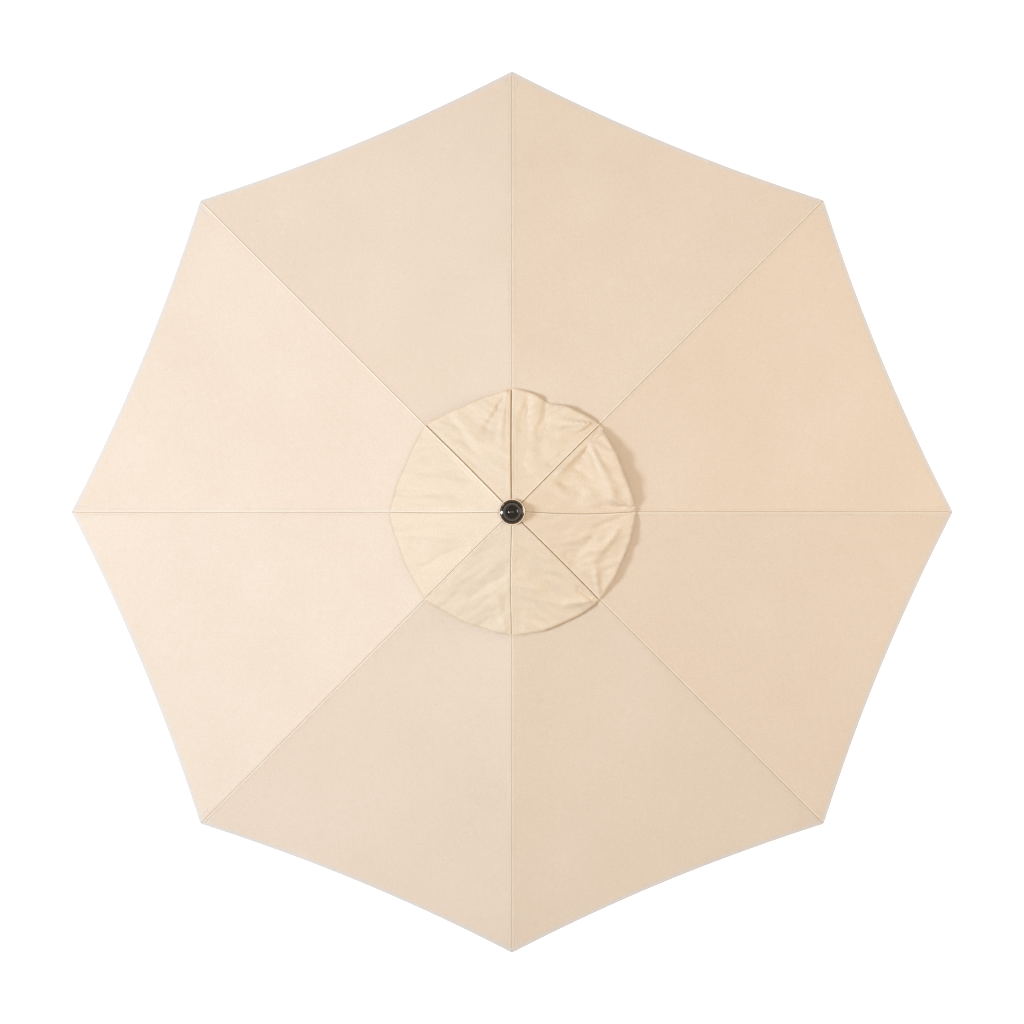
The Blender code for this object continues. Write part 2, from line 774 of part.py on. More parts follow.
def tilt_joint():
    """Two knuckles on one pin: the lower one is a fork and the upper one a tongue."""
    key = spin(KEY_AZIMUTH)
    fork = knuckle("tilt_knuckle_lower", 1, MID_TOP_Z + GAP)
    tongue = knuckle("tilt_knuckle_upper", -1, TOP_POLE_Z)
    reach = 0.03
    middle = TONGUE_HALF + GAP
    low, high = TILT_Z - SHOULDER, TILT_Z + SHOULDER
    cut(fork, box_mesh("fork_slot", (-reach, -middle, low), (reach, middle, high), key))
    for side, name in ((-1, "tongue_right"), (1, "tongue_left")):
        near, far = sorted((side * TONGUE_HALF, side * reach))
        cut(tongue, box_mesh(name, (-reach, near, low), (reach, far, high), key))
    pocket = ((POCKET_FLOOR, 0, BUTTON_Z), (reach, 0, BUTTON_Z))
    cut(tongue, rod_mesh("button_pocket", *pocket, BUTTON_RADIUS + 0.0004, 20, key))
    half = POLE_RADIUS - 0.0005
    pin = rod_mesh("tilt_pin", (0, -half, TILT_Z), (0, half, TILT_Z), TILT_PIN, 16, key)
    link_part("tilt_pin", pin, BRIGHT_STEEL)
    face = (BUTTON_OUT, 0, BUTTON_Z)
    push = rod_mesh("tilt_button", (BUTTON_IN, 0, BUTTON_Z), face, BUTTON_RADIUS, 20, key)
    button = link_part("tilt_button", push, BRIGHT_STEEL)
    soften(button, 0.0008, 1)
    hang([button], pivot("button_axis", key @ Vector(face)))
    tilt_spring().matrix_world = key


def tilt_spring():
    """The coil spring behind the tilt button."""
    turns = 5
    per_turn = 10
    wire = 0.00045
    coil = 0.0045
    start = POCKET_FLOOR + wire + GAP
    end = BUTTON_IN - wire - GAP
    curve = bpy.data.curves.new("tilt_spring", "CURVE")
    curve.dimensions = "3D"
    curve.bevel_depth = wire
    curve.bevel_resolution = 1
    curve.use_fill_caps = True
    spline = curve.splines.new("POLY")
    count = turns * per_turn
    spline.points.add(count)
    for step, point in enumerate(spline.points):
        angle = TURN * step / per_turn
        along = start + (end - start) * step / count
        point.co = (along, coil * math.cos(angle), BUTTON_Z + coil * math.sin(angle), 1.0)
    return link_part("tilt_spring", curve, BRIGHT_STEEL)


# ---------------------------------------------------------------- crank

def crank_housing():
    """The gearbox moulding in front of the pole and the half clamp behind it."""
    low_z, high_z = HOUSING_Z
    half = HOUSING_HALF_X
    front_box = box_mesh("crank_housing", (-half, HOUSING_FRONT, low_z), (half, -GAP / 2, high_z))
    back_box = box_mesh("crank_cover", (-half, GAP / 2, low_z), (half, HOUSING_BACK, high_z))
    front = link_part("crank_housing", front_box, BLACK_PLASTIC)
    back = link_part("crank_cover", back_box, BLACK_PLASTIC)
    for item in (front, back):
        soften(item, 0.007, 3)
    low = (-CAVITY_HALF, -0.0635, CRANK_Z - CAVITY_HALF)
    high = (CAVITY_HALF, -0.010, CRANK_Z + CAVITY_HALF)
    cut(front, box_mesh("gear_cavity", low, high))
    cut(front, rod_mesh("shaft_bore", (0, -0.080, CRANK_Z), (0, -0.050, CRANK_Z), SHAFT_RADIUS + 0.0006))
    bore = ((0, 0, low_z - 0.01), (0, 0, high_z + 0.01))
    for item in (front, back):
        cut(item, rod_mesh(item.name + "_bore", *bore, POLE_RADIUS + GAP, 32))
        cut(item, screws_mesh(item.name + "_holes", 0.0026, -0.0152, HOUSING_BACK))
        cut(item, screws_mesh(item.name + "_sinks", 0.0042, SCREW_SEAT - GAP, HOUSING_BACK + 0.01))
    for number, (x, z) in enumerate(SCREW_PLACES, start=1):
        shank = rod_mesh(f"housing_screw_{number}", (x, -0.0140, z), (x, SCREW_SEAT + 0.001, z), 0.0020, 12)
        screw = link_part(shank.name, shank, BRIGHT_STEEL)
        head_end = HOUSING_BACK - 0.0006
        join(screw, rod_mesh(f"screw_head_{number}", (x, SCREW_SEAT, z), (x, head_end, z), 0.0038, 12))


def screws_mesh(name, radius, start, end):
    """Two rods through the clamp, front to back."""
    bm = bmesh.new()
    for x, z in SCREW_PLACES:
        add_rod(bm, (x, start, z), (x, end, z), radius, 12)
    return mesh_of(name, bm)


def crank():
    """The spool on its shaft, the arm, and the knob that spins on the arm's pin."""
    near, far = SPOOL_Y
    width = near - far
    rim = 0.0025
    spool = [
        (SPOOL_FLANGE, 0.0),
        (SPOOL_FLANGE, -rim),
        (SPOOL_RADIUS, -rim),
        (SPOOL_RADIUS, rim - width),
        (SPOOL_FLANGE, rim - width),
        (SPOOL_FLANGE, -width),
        (SHAFT_RADIUS + GAP, -width),
        (SHAFT_RADIUS + GAP, 0.0),
    ]
    forward = Matrix.Translation((0.0, near, CRANK_Z)) @ Matrix.Rotation(-math.pi / 2, 4, "X")
    drum = turned_part("crank_spool", spool, BLACK_PLASTIC, sides=32, place=forward)
    ends = [(0, y, CRANK_Z) for y in SHAFT_Y]
    shaft = link_part("crank_shaft", rod_mesh("crank_shaft", *ends, SHAFT_RADIUS, 20), BRIGHT_STEEL)
    arm = crank_arm()
    pin_z = CRANK_Z - ARM_LENGTH
    pin = crank_pin(pin_z)
    hang([drum, shaft, arm, pin], pivot("crank_axis", (0.0, ARM_Y, CRANK_Z)))
    start, end = KNOB_Y
    length = start - end
    bore = KNOB_PIN_RADIUS + 0.0005
    grip = [
        (0.0100, 0.0),
        (0.0120, -0.004),
        (0.0105, -0.016),
        (0.0128, -0.036),
        (0.0128, 0.008 - length),
        (0.0090, -length),
        (bore, -length),
        (bore, 0.0),
    ]
    place = Matrix.Translation((0.0, start, pin_z)) @ Matrix.Rotation(-math.pi / 2, 4, "X")
    turned_part("crank_knob", grip, BLACK_PLASTIC, sides=24, place=place)


def crank_arm():
    """A flat arm that tapers from the shaft to the knob's pin."""
    hub, end = 0.0125, 0.0095
    lean = math.degrees(math.asin((hub - end) / ARM_LENGTH))
    outline = arc((0.0, 0.0), hub, -lean, 180 + lean, 16)
    outline += arc((0.0, -ARM_LENGTH), end, 180 + lean, 360 - lean, 12)
    loops = [outline, circle((0.0, 0.0), SHAFT_RADIUS + GAP, 20)]
    loops.append(circle((0.0, -ARM_LENGTH), KNOB_PIN_RADIUS + GAP, 16))
    mesh = outline_mesh("crank_arm", loops, ARM_HALF)
    item = link_part("crank_arm", mesh, PAINTED_STEEL)
    place = Matrix.Translation((0.0, ARM_Y, CRANK_Z)) @ Matrix.Rotation(math.pi / 2, 4, "X")
    item.matrix_world = place
    return item


def crank_pin(height):
    """The pin that the knob spins on, with a head at its outer end."""
    start, end = KNOB_Y
    inner = ARM_Y + ARM_HALF - 0.001
    bm = bmesh.new()
    add_rod(bm, (0, inner, height), (0, end - 0.0012, height), KNOB_PIN_RADIUS, 16)
    item = link_part("knob_pin", mesh_of("knob_pin", bm), BRIGHT_STEEL)
    join(item, rod_mesh("knob_pin_head", (0, end - 0.001, height), (0, end - 0.004, height), 0.0060, 16))
    return item


# ---------------------------------------------------------------- base

def base():
    """Round plate on rubber feet, bolted stem, plastic sleeve and the lock knob."""
    plate = [
        (0.0, PLATE_TOP_Z),
        (PLATE_RADIUS - 0.003, PLATE_TOP_Z),
        (PLATE_RADIUS, PLATE_TOP_Z - 0.003),
        (PLATE_RADIUS, FOOT_HEIGHT + 0.001),
        (PLATE_RADIUS - 0.001, FOOT_HEIGHT),
        (0.0, FOOT_HEIGHT),
    ]
    plate = turned_part("base_plate", plate, PAINTED_STEEL, sides=64, closed=False)
    cut(plate, bolts_mesh("plate_holes", 0.0045, FOOT_HEIGHT - 0.01, PLATE_TOP_Z + 0.01))
    foot = ring(0.272, 0.236, 0.0, FOOT_HEIGHT - GAP)
    turned_part("base_foot_ring", foot, RUBBER, sides=48)
    base_stem()
    head = PLATE_TOP_Z + GAP + FLANGE_HEIGHT + GAP
    for number, azimuth in enumerate(azimuths(4, math.pi / 4), start=1):
        place = spin(azimuth) @ Matrix.Translation((BOLT_CIRCLE, 0.0, 0.0))
        shank = rod_mesh(
            f"base_bolt_{number}", (0, 0, FOOT_HEIGHT + 0.002), (0, 0, head + 0.001), 0.0040, 12, place
        )
        bolt = link_part(shank.name, shank, BRIGHT_STEEL)
        join(bolt, rod_mesh(f"bolt_head_{number}", (0, 0, head), (0, 0, head + 0.0053), 0.0065, 6, place))
    lock_knob()


def bolts_mesh(name, radius, low, high, sides=16):
    """Four upright rods on the stem flange's bolt circle."""
    bm = bmesh.new()
    for azimuth in azimuths(4, math.pi / 4):
        add_rod(bm, (BOLT_CIRCLE, 0, low), (BOLT_CIRCLE, 0, high), radius, sides, spin(azimuth))
    return mesh_of(name, bm)


def base_stem():
    """The tube that the pole stands in, welded to its flange, with the boss for the lock stud."""
    floor = PLATE_TOP_Z + GAP
    stem = [
        (STEM_OUTER, STEM_TOP_Z),
        (STEM_OUTER, floor + FLANGE_HEIGHT + 0.006),
        (STEM_OUTER + 0.006, floor + FLANGE_HEIGHT),
        (FLANGE_RADIUS - 0.001, floor + FLANGE_HEIGHT),
        (FLANGE_RADIUS, floor + FLANGE_HEIGHT - 0.001),
        (FLANGE_RADIUS, floor),
        (STEM_INNER, floor),
        (STEM_INNER, STEM_TOP_Z),
    ]
    tube = turned_part("base_stem", stem, PAINTED_STEEL)
    boss_start = -(STEM_INNER + STEM_OUTER) / 2
    join(tube, rod_mesh("lock_boss", (0, boss_start, LOCK_Z), (0, -0.040, LOCK_Z), 0.0095, 24))
    cut(tube, rod_mesh("lock_thread", (0, -0.015, LOCK_Z), (0, -0.050, LOCK_Z), LOCK_STUD + 0.0005))
    cut(tube, bolts_mesh("flange_holes", 0.0045, floor - 0.01, floor + 0.02))
    sleeve = [
        (0.0275, SLEEVE_TOP_Z),
        (0.0290, SLEEVE_TOP_Z - 0.002),
        (0.0290, STEM_TOP_Z + GAP),
        (STEM_INNER - GAP, STEM_TOP_Z + GAP),
        (STEM_INNER - GAP, SLEEVE_BOTTOM_Z),
        (POLE_RADIUS + GAP, SLEEVE_BOTTOM_Z),
        (POLE_RADIUS + GAP, SLEEVE_TOP_Z),
    ]
    liner = turned_part("base_sleeve", sleeve, BLACK_PLASTIC)
    cut(liner, rod_mesh("sleeve_hole", (0, -0.015, LOCK_Z), (0, -0.030, LOCK_Z), LOCK_STUD + 0.0005))


def lock_knob():
    """A six-lobed knob moulded on a stud that presses on the pole."""
    lobes = 6
    loop = []
    for step in range(36):
        angle = TURN * step / 36
        radius = 0.0205 + 0.0022 * math.cos(lobes * angle)
        loop.append((radius * math.cos(angle), radius * math.sin(angle)))
    mesh = outline_mesh("base_lock_knob", [loop], 0.0085)
    item = link_part("base_lock_knob", mesh, BLACK_PLASTIC)
    place = Matrix.Translation((0.0, -0.0600, LOCK_Z)) @ Matrix.Rotation(math.pi / 2, 4, "X")
    item.matrix_world = place
    soften(item, 0.002, 2)
    inner_end = (0, -POLE_RADIUS - GAP, LOCK_Z)
    stud = rod_mesh("base_lock_stud", inner_end, (0, -0.0512, LOCK_Z), LOCK_STUD)
    hang([link_part("base_lock_stud", stud, BRIGHT_STEEL)], pivot("lock_axis", inner_end))


# ---------------------------------------------------------------- build

TILTING = (
    "tilt_knuckle_upper",
    "tilt_spring",
    "top_pole",
    "top_hub",
    "hub_ring",
    "pulley_pin",
    "canopy",
    "vent_cap",
    "finial_ring",
    "finial_knob",
)


def main():
    """Build every sub-part, then hang what tilts from the tilt axis."""
    base()
    poles()
    crank_housing()
    crank()
    tilt_joint()
    top_hub()
    pulley()
    runner()
    folding_frame()
    canopy()
    vent_cap()
    finial()
    hang([PARTS.objects[name] for name in TILTING], pivot("tilt_axis", (0.0, 0.0, TILT_Z)))


main()
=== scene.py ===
"""Looks of the crank-lift patio umbrella: cloth, seams, finial, finishes, light and camera."""

import json
import math

import bmesh
import bpy
import numpy as np
from mathutils import Matrix, Vector
from mathutils.noise import noise as noise_at


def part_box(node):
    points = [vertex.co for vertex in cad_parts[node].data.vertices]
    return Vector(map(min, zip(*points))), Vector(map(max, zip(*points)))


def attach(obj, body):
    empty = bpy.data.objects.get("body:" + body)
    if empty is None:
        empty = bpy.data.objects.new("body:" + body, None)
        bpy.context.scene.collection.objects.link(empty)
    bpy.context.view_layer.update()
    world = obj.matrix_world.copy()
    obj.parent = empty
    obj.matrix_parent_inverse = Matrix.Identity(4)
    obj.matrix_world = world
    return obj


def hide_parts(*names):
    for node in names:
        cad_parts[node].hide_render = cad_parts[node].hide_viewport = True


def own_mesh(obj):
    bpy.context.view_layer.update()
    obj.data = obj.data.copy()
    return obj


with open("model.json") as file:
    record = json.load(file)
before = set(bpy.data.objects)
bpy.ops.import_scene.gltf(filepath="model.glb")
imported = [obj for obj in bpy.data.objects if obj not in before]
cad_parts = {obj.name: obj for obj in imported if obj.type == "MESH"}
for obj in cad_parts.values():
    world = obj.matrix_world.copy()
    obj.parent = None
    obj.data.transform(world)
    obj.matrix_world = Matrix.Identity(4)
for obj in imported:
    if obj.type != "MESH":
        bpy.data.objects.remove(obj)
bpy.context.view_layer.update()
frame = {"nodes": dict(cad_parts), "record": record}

# ---------------------------------------------------------------- places, from the frame

RIBS = 8
HALF = math.pi / RIBS                        # half a gore
TAN_HALF = math.tan(HALF)
COS_HALF = math.cos(HALF)
JOINTS = {joint["name"]: joint for joint in frame["record"]["behaviour"]["joints"]}
PIVOT_RADIUS = JOINTS["canopy_fold"]["pos_m"][0]
HUB_Z = JOINTS["canopy_fold"]["pos_m"][2]
CANOPY_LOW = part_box("canopy")[0]
VENT_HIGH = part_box("vent_cap")[1]
RIM_RADIUS = 1.35
RIB_SLOPE = math.radians(20)
SEAM_DROP = math.tan(RIB_SLOPE)              # fall of a seam for each metre out
RIB_HALF_WIDTH = 0.005
RIB_HALF_HEIGHT = 0.008
RIB_TIP_INSET = 0.006                        # rib tip to canopy corner
RIB_LENGTH = (RIM_RADIUS - RIB_TIP_INSET - PIVOT_RADIUS) / math.cos(RIB_SLOPE)
RIM_Z = CANOPY_LOW[2]                        # underside of the cloth at a corner
CLOTH = 0.0009                               # thickness

# canopy
MOUTH_RADIUS = 0.235
SCALLOP = 0.024                              # how far an edge curves in between two corners
SAG = 0.010                                  # how far a gore hangs between its seams
HEM = 0.0115                                 # width of the hem
HEM_RISE = 0.0011                            # how far its top stands over the cloth's
HEM_STEP = 0.0006                            # length over which it rises
BLUNT = 0.0035                               # how far a corner's point is rounded off
BLUNT_START = 0.985                          # and where across the gore that starts

# vent cap
VENT_RADIUS = 0.355
VENT_HOLE = 0.040                            # where the panels start, on the crown patch
CROWN_RADIUS = 0.058
VENT_HEM_WIDTH = 0.004
VENT_SEAM_TOP_Z = VENT_HIGH[2] - 0.0014
VENT_HOLE_CAD = 0.0145
VENT_EDGE_GAP = 0.0073                       # a rib's top to the vent cap's edge
VENT_EDGE_Z = HUB_Z - (VENT_RADIUS - PIVOT_RADIUS) * SEAM_DROP
VENT_EDGE_Z = VENT_EDGE_Z + RIB_HALF_HEIGHT / math.cos(RIB_SLOPE) + VENT_EDGE_GAP
VENT_SLOPE = (VENT_SEAM_TOP_Z - VENT_EDGE_Z) / (VENT_RADIUS - VENT_HOLE_CAD)


# ---------------------------------------------------------------- node helpers

def new_material(name, roughness=0.5, metallic=0.0):
    """A material with its Principled shader, and the shader."""
    material = bpy.data.materials.new(name)
    material.use_nodes = True
    shader = material.node_tree.nodes["Principled BSDF"]
    shader.inputs["Roughness"].default_value = roughness
    shader.inputs["Metallic"].default_value = metallic
    return material, shader


def node(material, kind, **settings):
    """A new node with its settings."""
    made = material.node_tree.nodes.new(kind)
    for key, value in settings.items():
        if key in made.inputs:
            made.inputs[key].default_value = value
        else:
            setattr(made, key, value)
    return made


def wire(material, source, target):
    """Link an output socket to an input socket."""
    material.node_tree.links.new(source, target)


def noise(material, coordinates, scale, detail=3.0, roughness=0.5):
    """A noise texture on the given coordinates."""
    made = node(material, "ShaderNodeTexNoise", Scale=scale, Detail=detail, Roughness=roughness)
    wire(material, coordinates, made.inputs["Vector"])
    return made


def ramp(material, source, stops):
    """A colour ramp fed by a socket. Stops are (position, colour)."""
    made = node(material, "ShaderNodeValToRGB")
    elements = made.color_ramp.elements
    while len(elements) < len(stops):
        elements.new(0.5)
    for element, (position, colour) in zip(elements, stops):
        element.position = position
        element.color = (*colour, 1.0)
    wire(material, source, made.inputs["Fac"])
    return made


def maths(material, operation, first, second=0.0):
    """A Math node on sockets or numbers."""
    made = node(material, "ShaderNodeMath", operation=operation)
    for slot, value in zip(made.inputs, (first, second)):
        if isinstance(value, (int, float)):
            slot.default_value = value
        else:
            wire(material, value, slot)
    return made.outputs[0]


def mix_colour(material, factor, first, second, blend="MIX"):
    """Mix two colours or sockets."""
    made = node(material, "ShaderNodeMix", data_type="RGBA", blend_type=blend)
    for index, value in ((0, factor), (6, first), (7, second)):
        if isinstance(value, (int, float)):
            made.inputs[index].default_value = value
        elif isinstance(value, tuple):
            made.inputs[index].default_value = (*value, 1.0)
        else:
            wire(material, value, made.inputs[index])
    return made.outputs[2]


def bump(material, shader, height, strength, distance):
    """Bump from a height socket, added to any bump already there."""
    made = node(material, "ShaderNodeBump", Strength=strength, Distance=distance)
    wire(material, height, made.inputs["Height"])
    into = shader.inputs["Normal"]
    if into.is_linked:
        wire(material, into.links[0].from_socket, made.inputs["Normal"])
    wire(material, made.outputs["Normal"], into)


def linked(name, data):
    """A new object in the scene for a mesh, light or camera."""
    made = bpy.data.objects.new(name, data)
    bpy.context.scene.collection.objects.link(made)
    return made


def paint(piece, material):
    """Give a piece one material."""
    piece.data.materials.clear()
    piece.data.materials.append(material)


# ---------------------------------------------------------------- materials

THREADS = 900.0                              # per metre
SLUBS = 40.0                                 # lengths of uneven yarn per metre
GORE_SHIFT = 0.37                            # of the weave, from one gore to the next
SEAM_SHIFT = 0.53                            # and from one seam to the next


def vary_roughness(material, shader, source, low, high, most=1.0):
    """Roughness that goes from low to high as a socket goes from 0 to most."""
    made = node(material, "ShaderNodeMapRange")
    wire(material, source, made.inputs["Value"])
    made.inputs["From Max"].default_value = most
    made.inputs["To Min"].default_value = low
    made.inputs["To Max"].default_value = high
    wire(material, made.outputs["Result"], shader.inputs["Roughness"])


def cloth_material(name, light, dark):
    """Woven polyester: warp and weft threads, slubs, heathered yarn and faint soiling."""
    material, shader = new_material(name, 0.86)
    shader.inputs["Sheen Weight"].default_value = 0.18
    shader.inputs["Sheen Roughness"].default_value = 0.45
    shader.inputs["Specular IOR Level"].default_value = 0.25
    place = node(material, "ShaderNodeUVMap", uv_map="cloth")
    weave = place.outputs["UV"]
    across = node(material, "ShaderNodeMapping")
    wire(material, weave, across.inputs["Vector"])
    across.inputs["Scale"].default_value = (SLUBS, THREADS, 1.0)
    along = node(material, "ShaderNodeMapping")
    wire(material, weave, along.inputs["Vector"])
    along.inputs["Scale"].default_value = (THREADS, SLUBS, 1.0)
    warp = noise(material, across.outputs["Vector"], 1.0, 2.0)
    weft = noise(material, along.outputs["Vector"], 1.0, 2.0)
    threads = maths(material, "ADD", warp.outputs["Fac"], weft.outputs["Fac"])
    slub = noise(material, weave, 260.0, 2.0, 0.6)
    thread_part = maths(material, "MULTIPLY", threads, 0.30)
    slub_part = maths(material, "MULTIPLY", slub.outputs["Fac"], 0.40)
    yarn = maths(material, "ADD", thread_part, slub_part)
    heather = ramp(material, yarn, [(0.40, dark), (0.60, light)])
    cloud = noise(material, weave, 3.2, 4.0, 0.6)
    soil = ramp(material, cloud.outputs["Fac"], [(0.30, (0.965, 0.955, 0.94)), (0.70, (1.0, 1.0, 1.0))])
    colour = mix_colour(material, 1.0, heather.outputs["Color"], soil.outputs["Color"], "MULTIPLY")
    wire(material, colour, shader.inputs["Base Color"])
    vary_roughness(material, shader, threads, 0.78, 0.94, most=2.0)
    grid = node(material, "ShaderNodeTexChecker", Scale=THREADS)
    wire(material, weave, grid.inputs["Vector"])
    bump(material, shader, grid.outputs["Fac"], 0.25, 0.0002)
    bump(material, shader, threads, 0.35, 0.0004)
    crumple = noise(material, weave, 14.0, 3.0, 0.55)
    bump(material, shader, crumple.outputs["Fac"], 0.12, 0.004)
    return material


def painted_material(name, colour, roughness, grain=900.0):
    """Powder coat: fine orange peel, uneven gloss and tint."""
    material, shader = new_material(name, roughness, metallic=0.35)
    place = node(material, "ShaderNodeTexCoord").outputs["Object"]
    peel = noise(material, place, grain, 2.0)
    cloud = noise(material, place, 9.0, 4.0)
    bright = tuple(min(1.0, part * 1.5 + 0.012) for part in colour)
    tint = ramp(material, cloud.outputs["Fac"], [(0.35, colour), (0.75, bright)])
    wire(material, tint.outputs["Color"], shader.inputs["Base Color"])
    vary_roughness(material, shader, cloud.outputs["Fac"], roughness - 0.08, roughness + 0.10)
    bump(material, shader, peel.outputs["Fac"], 0.25, 0.0003)
    return material


def plastic_material(name, colour, roughness, grain=1400.0):
    """Moulded plastic with a spark-eroded grain."""
    material, shader = new_material(name, roughness)
    place = node(material, "ShaderNodeTexCoord").outputs["Object"]
    grains = node(material, "ShaderNodeTexVoronoi", Scale=grain)
    wire(material, place, grains.inputs["Vector"])
    cloud = noise(material, place, 25.0, 3.0)
    bright = tuple(part * 1.4 + 0.006 for part in colour)
    tint = ramp(material, cloud.outputs["Fac"], [(0.3, colour), (0.8, bright)])
    wire(material, tint.outputs["Color"], shader.inputs["Base Color"])
    vary_roughness(material, shader, cloud.outputs["Fac"], roughness - 0.06, roughness + 0.08)
    bump(material, shader, grains.outputs["Distance"], 0.2, 0.0003)
    return material


def metal_material(name, colour, roughness, streak=0.10):
    """Plated or polished metal with fine turning marks."""
    material, shader = new_material(name, roughness, 1.0)
    place = node(material, "ShaderNodeTexCoord").outputs["Object"]
    stretch = node(material, "ShaderNodeMapping")
    wire(material, place, stretch.inputs["Vector"])
    stretch.inputs["Scale"].default_value = (60.0, 60.0, 1600.0)
    marks = noise(material, stretch.outputs["Vector"], 1.0, 3.0)
    cloud = noise(material, place, 30.0, 3.0)
    dull = tuple(part * 0.82 for part in colour)
    tint = ramp(material, cloud.outputs["Fac"], [(0.3, dull), (0.7, colour)])
    wire(material, tint.outputs["Color"], shader.inputs["Base Color"])
    vary_roughness(material, shader, marks.outputs["Fac"], roughness, roughness + streak)
    bump(material, shader, marks.outputs["Fac"], 0.05, 0.0002)
    return material


CANOPY_CLOTH = cloth_material("canopy_cloth", (0.87, 0.715, 0.560), (0.79, 0.620, 0.455))
HEM_CLOTH = cloth_material("hem_cloth", (0.81, 0.735, 0.655), (0.74, 0.655, 0.570))
VENT_CLOTH = cloth_material("vent_cloth", (0.87, 0.715, 0.535), (0.79, 0.615, 0.430))
# painted highlight: a lighter cloth for the seams' rolled fold, where it catches the light
SEAM_HIGHLIGHT = cloth_material("seam_roll_painted_highlight", (0.95, 0.83, 0.67), (0.89, 0.755, 0.590))
THREAD = cloth_material("thread", (0.84, 0.70, 0.53), (0.70, 0.56, 0.40))
# the next two are painted shade: dark crease colours for the vent cap's seams and the canopy's, standing
# for the shadow in each crease
SEAM_SHADE = cloth_material("vent_seam_painted_shade", (0.40, 0.225, 0.080), (0.32, 0.175, 0.060))
CANOPY_SEAM_SHADE = cloth_material("canopy_seam_painted_shade", (0.48, 0.32, 0.18), (0.40, 0.26, 0.14))
# painted shade: the vent cap's hem, darker than its cloth, for the shadow gap under its edge
VENT_HEM_SHADE = cloth_material("vent_hem_painted_shade", (0.80, 0.640, 0.460), (0.72, 0.545, 0.355))
CHROME = metal_material("finial_chrome", (0.20, 0.165, 0.140), 0.10, 0.05)
PLATED = metal_material("zinc_plate", (0.60, 0.60, 0.61), 0.28)
GLOSS_BLACK = plastic_material("finial_black", (0.014, 0.008, 0.005), 0.10, 300.0)
GLOSS_BLACK.node_tree.nodes["Principled BSDF"].inputs["Specular IOR Level"].default_value = 0.42
BLACK_PLASTIC = plastic_material("black_plastic", (0.022, 0.021, 0.020), 0.48)
POLE_PAINT = painted_material("pole_paint", (0.055, 0.048, 0.042), 0.38)
FRAME_PAINT = painted_material("frame_paint", (0.050, 0.044, 0.038), 0.42)
BASE_PAINT = painted_material("base_paint", (0.030, 0.028, 0.026), 0.52, 500.0)
RUBBER = plastic_material("rubber", (0.018, 0.018, 0.018), 0.85, 700.0)


# ---------------------------------------------------------------- cloth surfaces

def seam_z(radius):
    """Underside of the canopy along a seam."""
    return RIM_Z + (RIM_RADIUS - radius) * SEAM_DROP


def vent_seam_z(radius):
    """Underside of the vent cap along a seam."""
    return VENT_SEAM_TOP_Z - VENT_SLOPE * (radius - VENT_HOLE_CAD)


GORE_WAVES = ((0.9, 5.1, 0.3), (0.6, 8.7, 1.9), (0.45, 12.9, 4.1))   # millimetres, cycles, phase


def canopy_reach(across):
    """Distance from the pole to the canopy's edge, square to a gore's chord."""
    blunt = BLUNT * np.clip((np.abs(across) - BLUNT_START) / (1 - BLUNT_START), 0, 1) ** 2
    return RIM_RADIUS * COS_HALF - SCALLOP * (1 - across**2) - blunt


def canopy_z(reach, across, gore):
    """Underside of the canopy. across runs from -1 at one seam to 1 at the next."""
    crown = 1 - across**2
    share = (reach - MOUTH_RADIUS * COS_HALF) / (canopy_reach(across) - MOUTH_RADIUS * COS_HALF)
    sag = SAG * np.sin(np.pi * np.clip(share, 0, 1) ** 1.2) * crown
    side = across * reach * TAN_HALF
    ripple = 0
    for height, cycles, phase in GORE_WAVES:
        turned = side * math.cos(gore + phase) + reach * math.sin(gore * 1.7 + phase)
        ripple = ripple + height * 0.001 * np.sin(cycles * turned * 1.3 + phase + gore)
    return seam_z(reach / COS_HALF) - sag + ripple * crown


# The vent cap's free edge, gore by gore from +X: how far it lifts and how far it bulges out, and how
# high the panel's soft creases are, in metres.
VENT_LIFTS = (0.024, 0.014, 0.009, 0.005, 0.004, 0.006, 0.009, 0.011)
VENT_BULGES = (0.010, 0.014, 0.008, 0.009, 0.014, 0.016, 0.022, 0.017)
VENT_RUMPLES = (0.0085, 0.0085, 0.0064, 0.0048, 0.0042, 0.0054, 0.0068, 0.0085)

# One panel's edge has a dent: depth in metres, place across the panel and width.
DENT_GORE = 1
DENT_INWARD = (0.012, 0.14, 0.26)
DENT_DOWNWARD = (0.014, 0.12, 0.24)

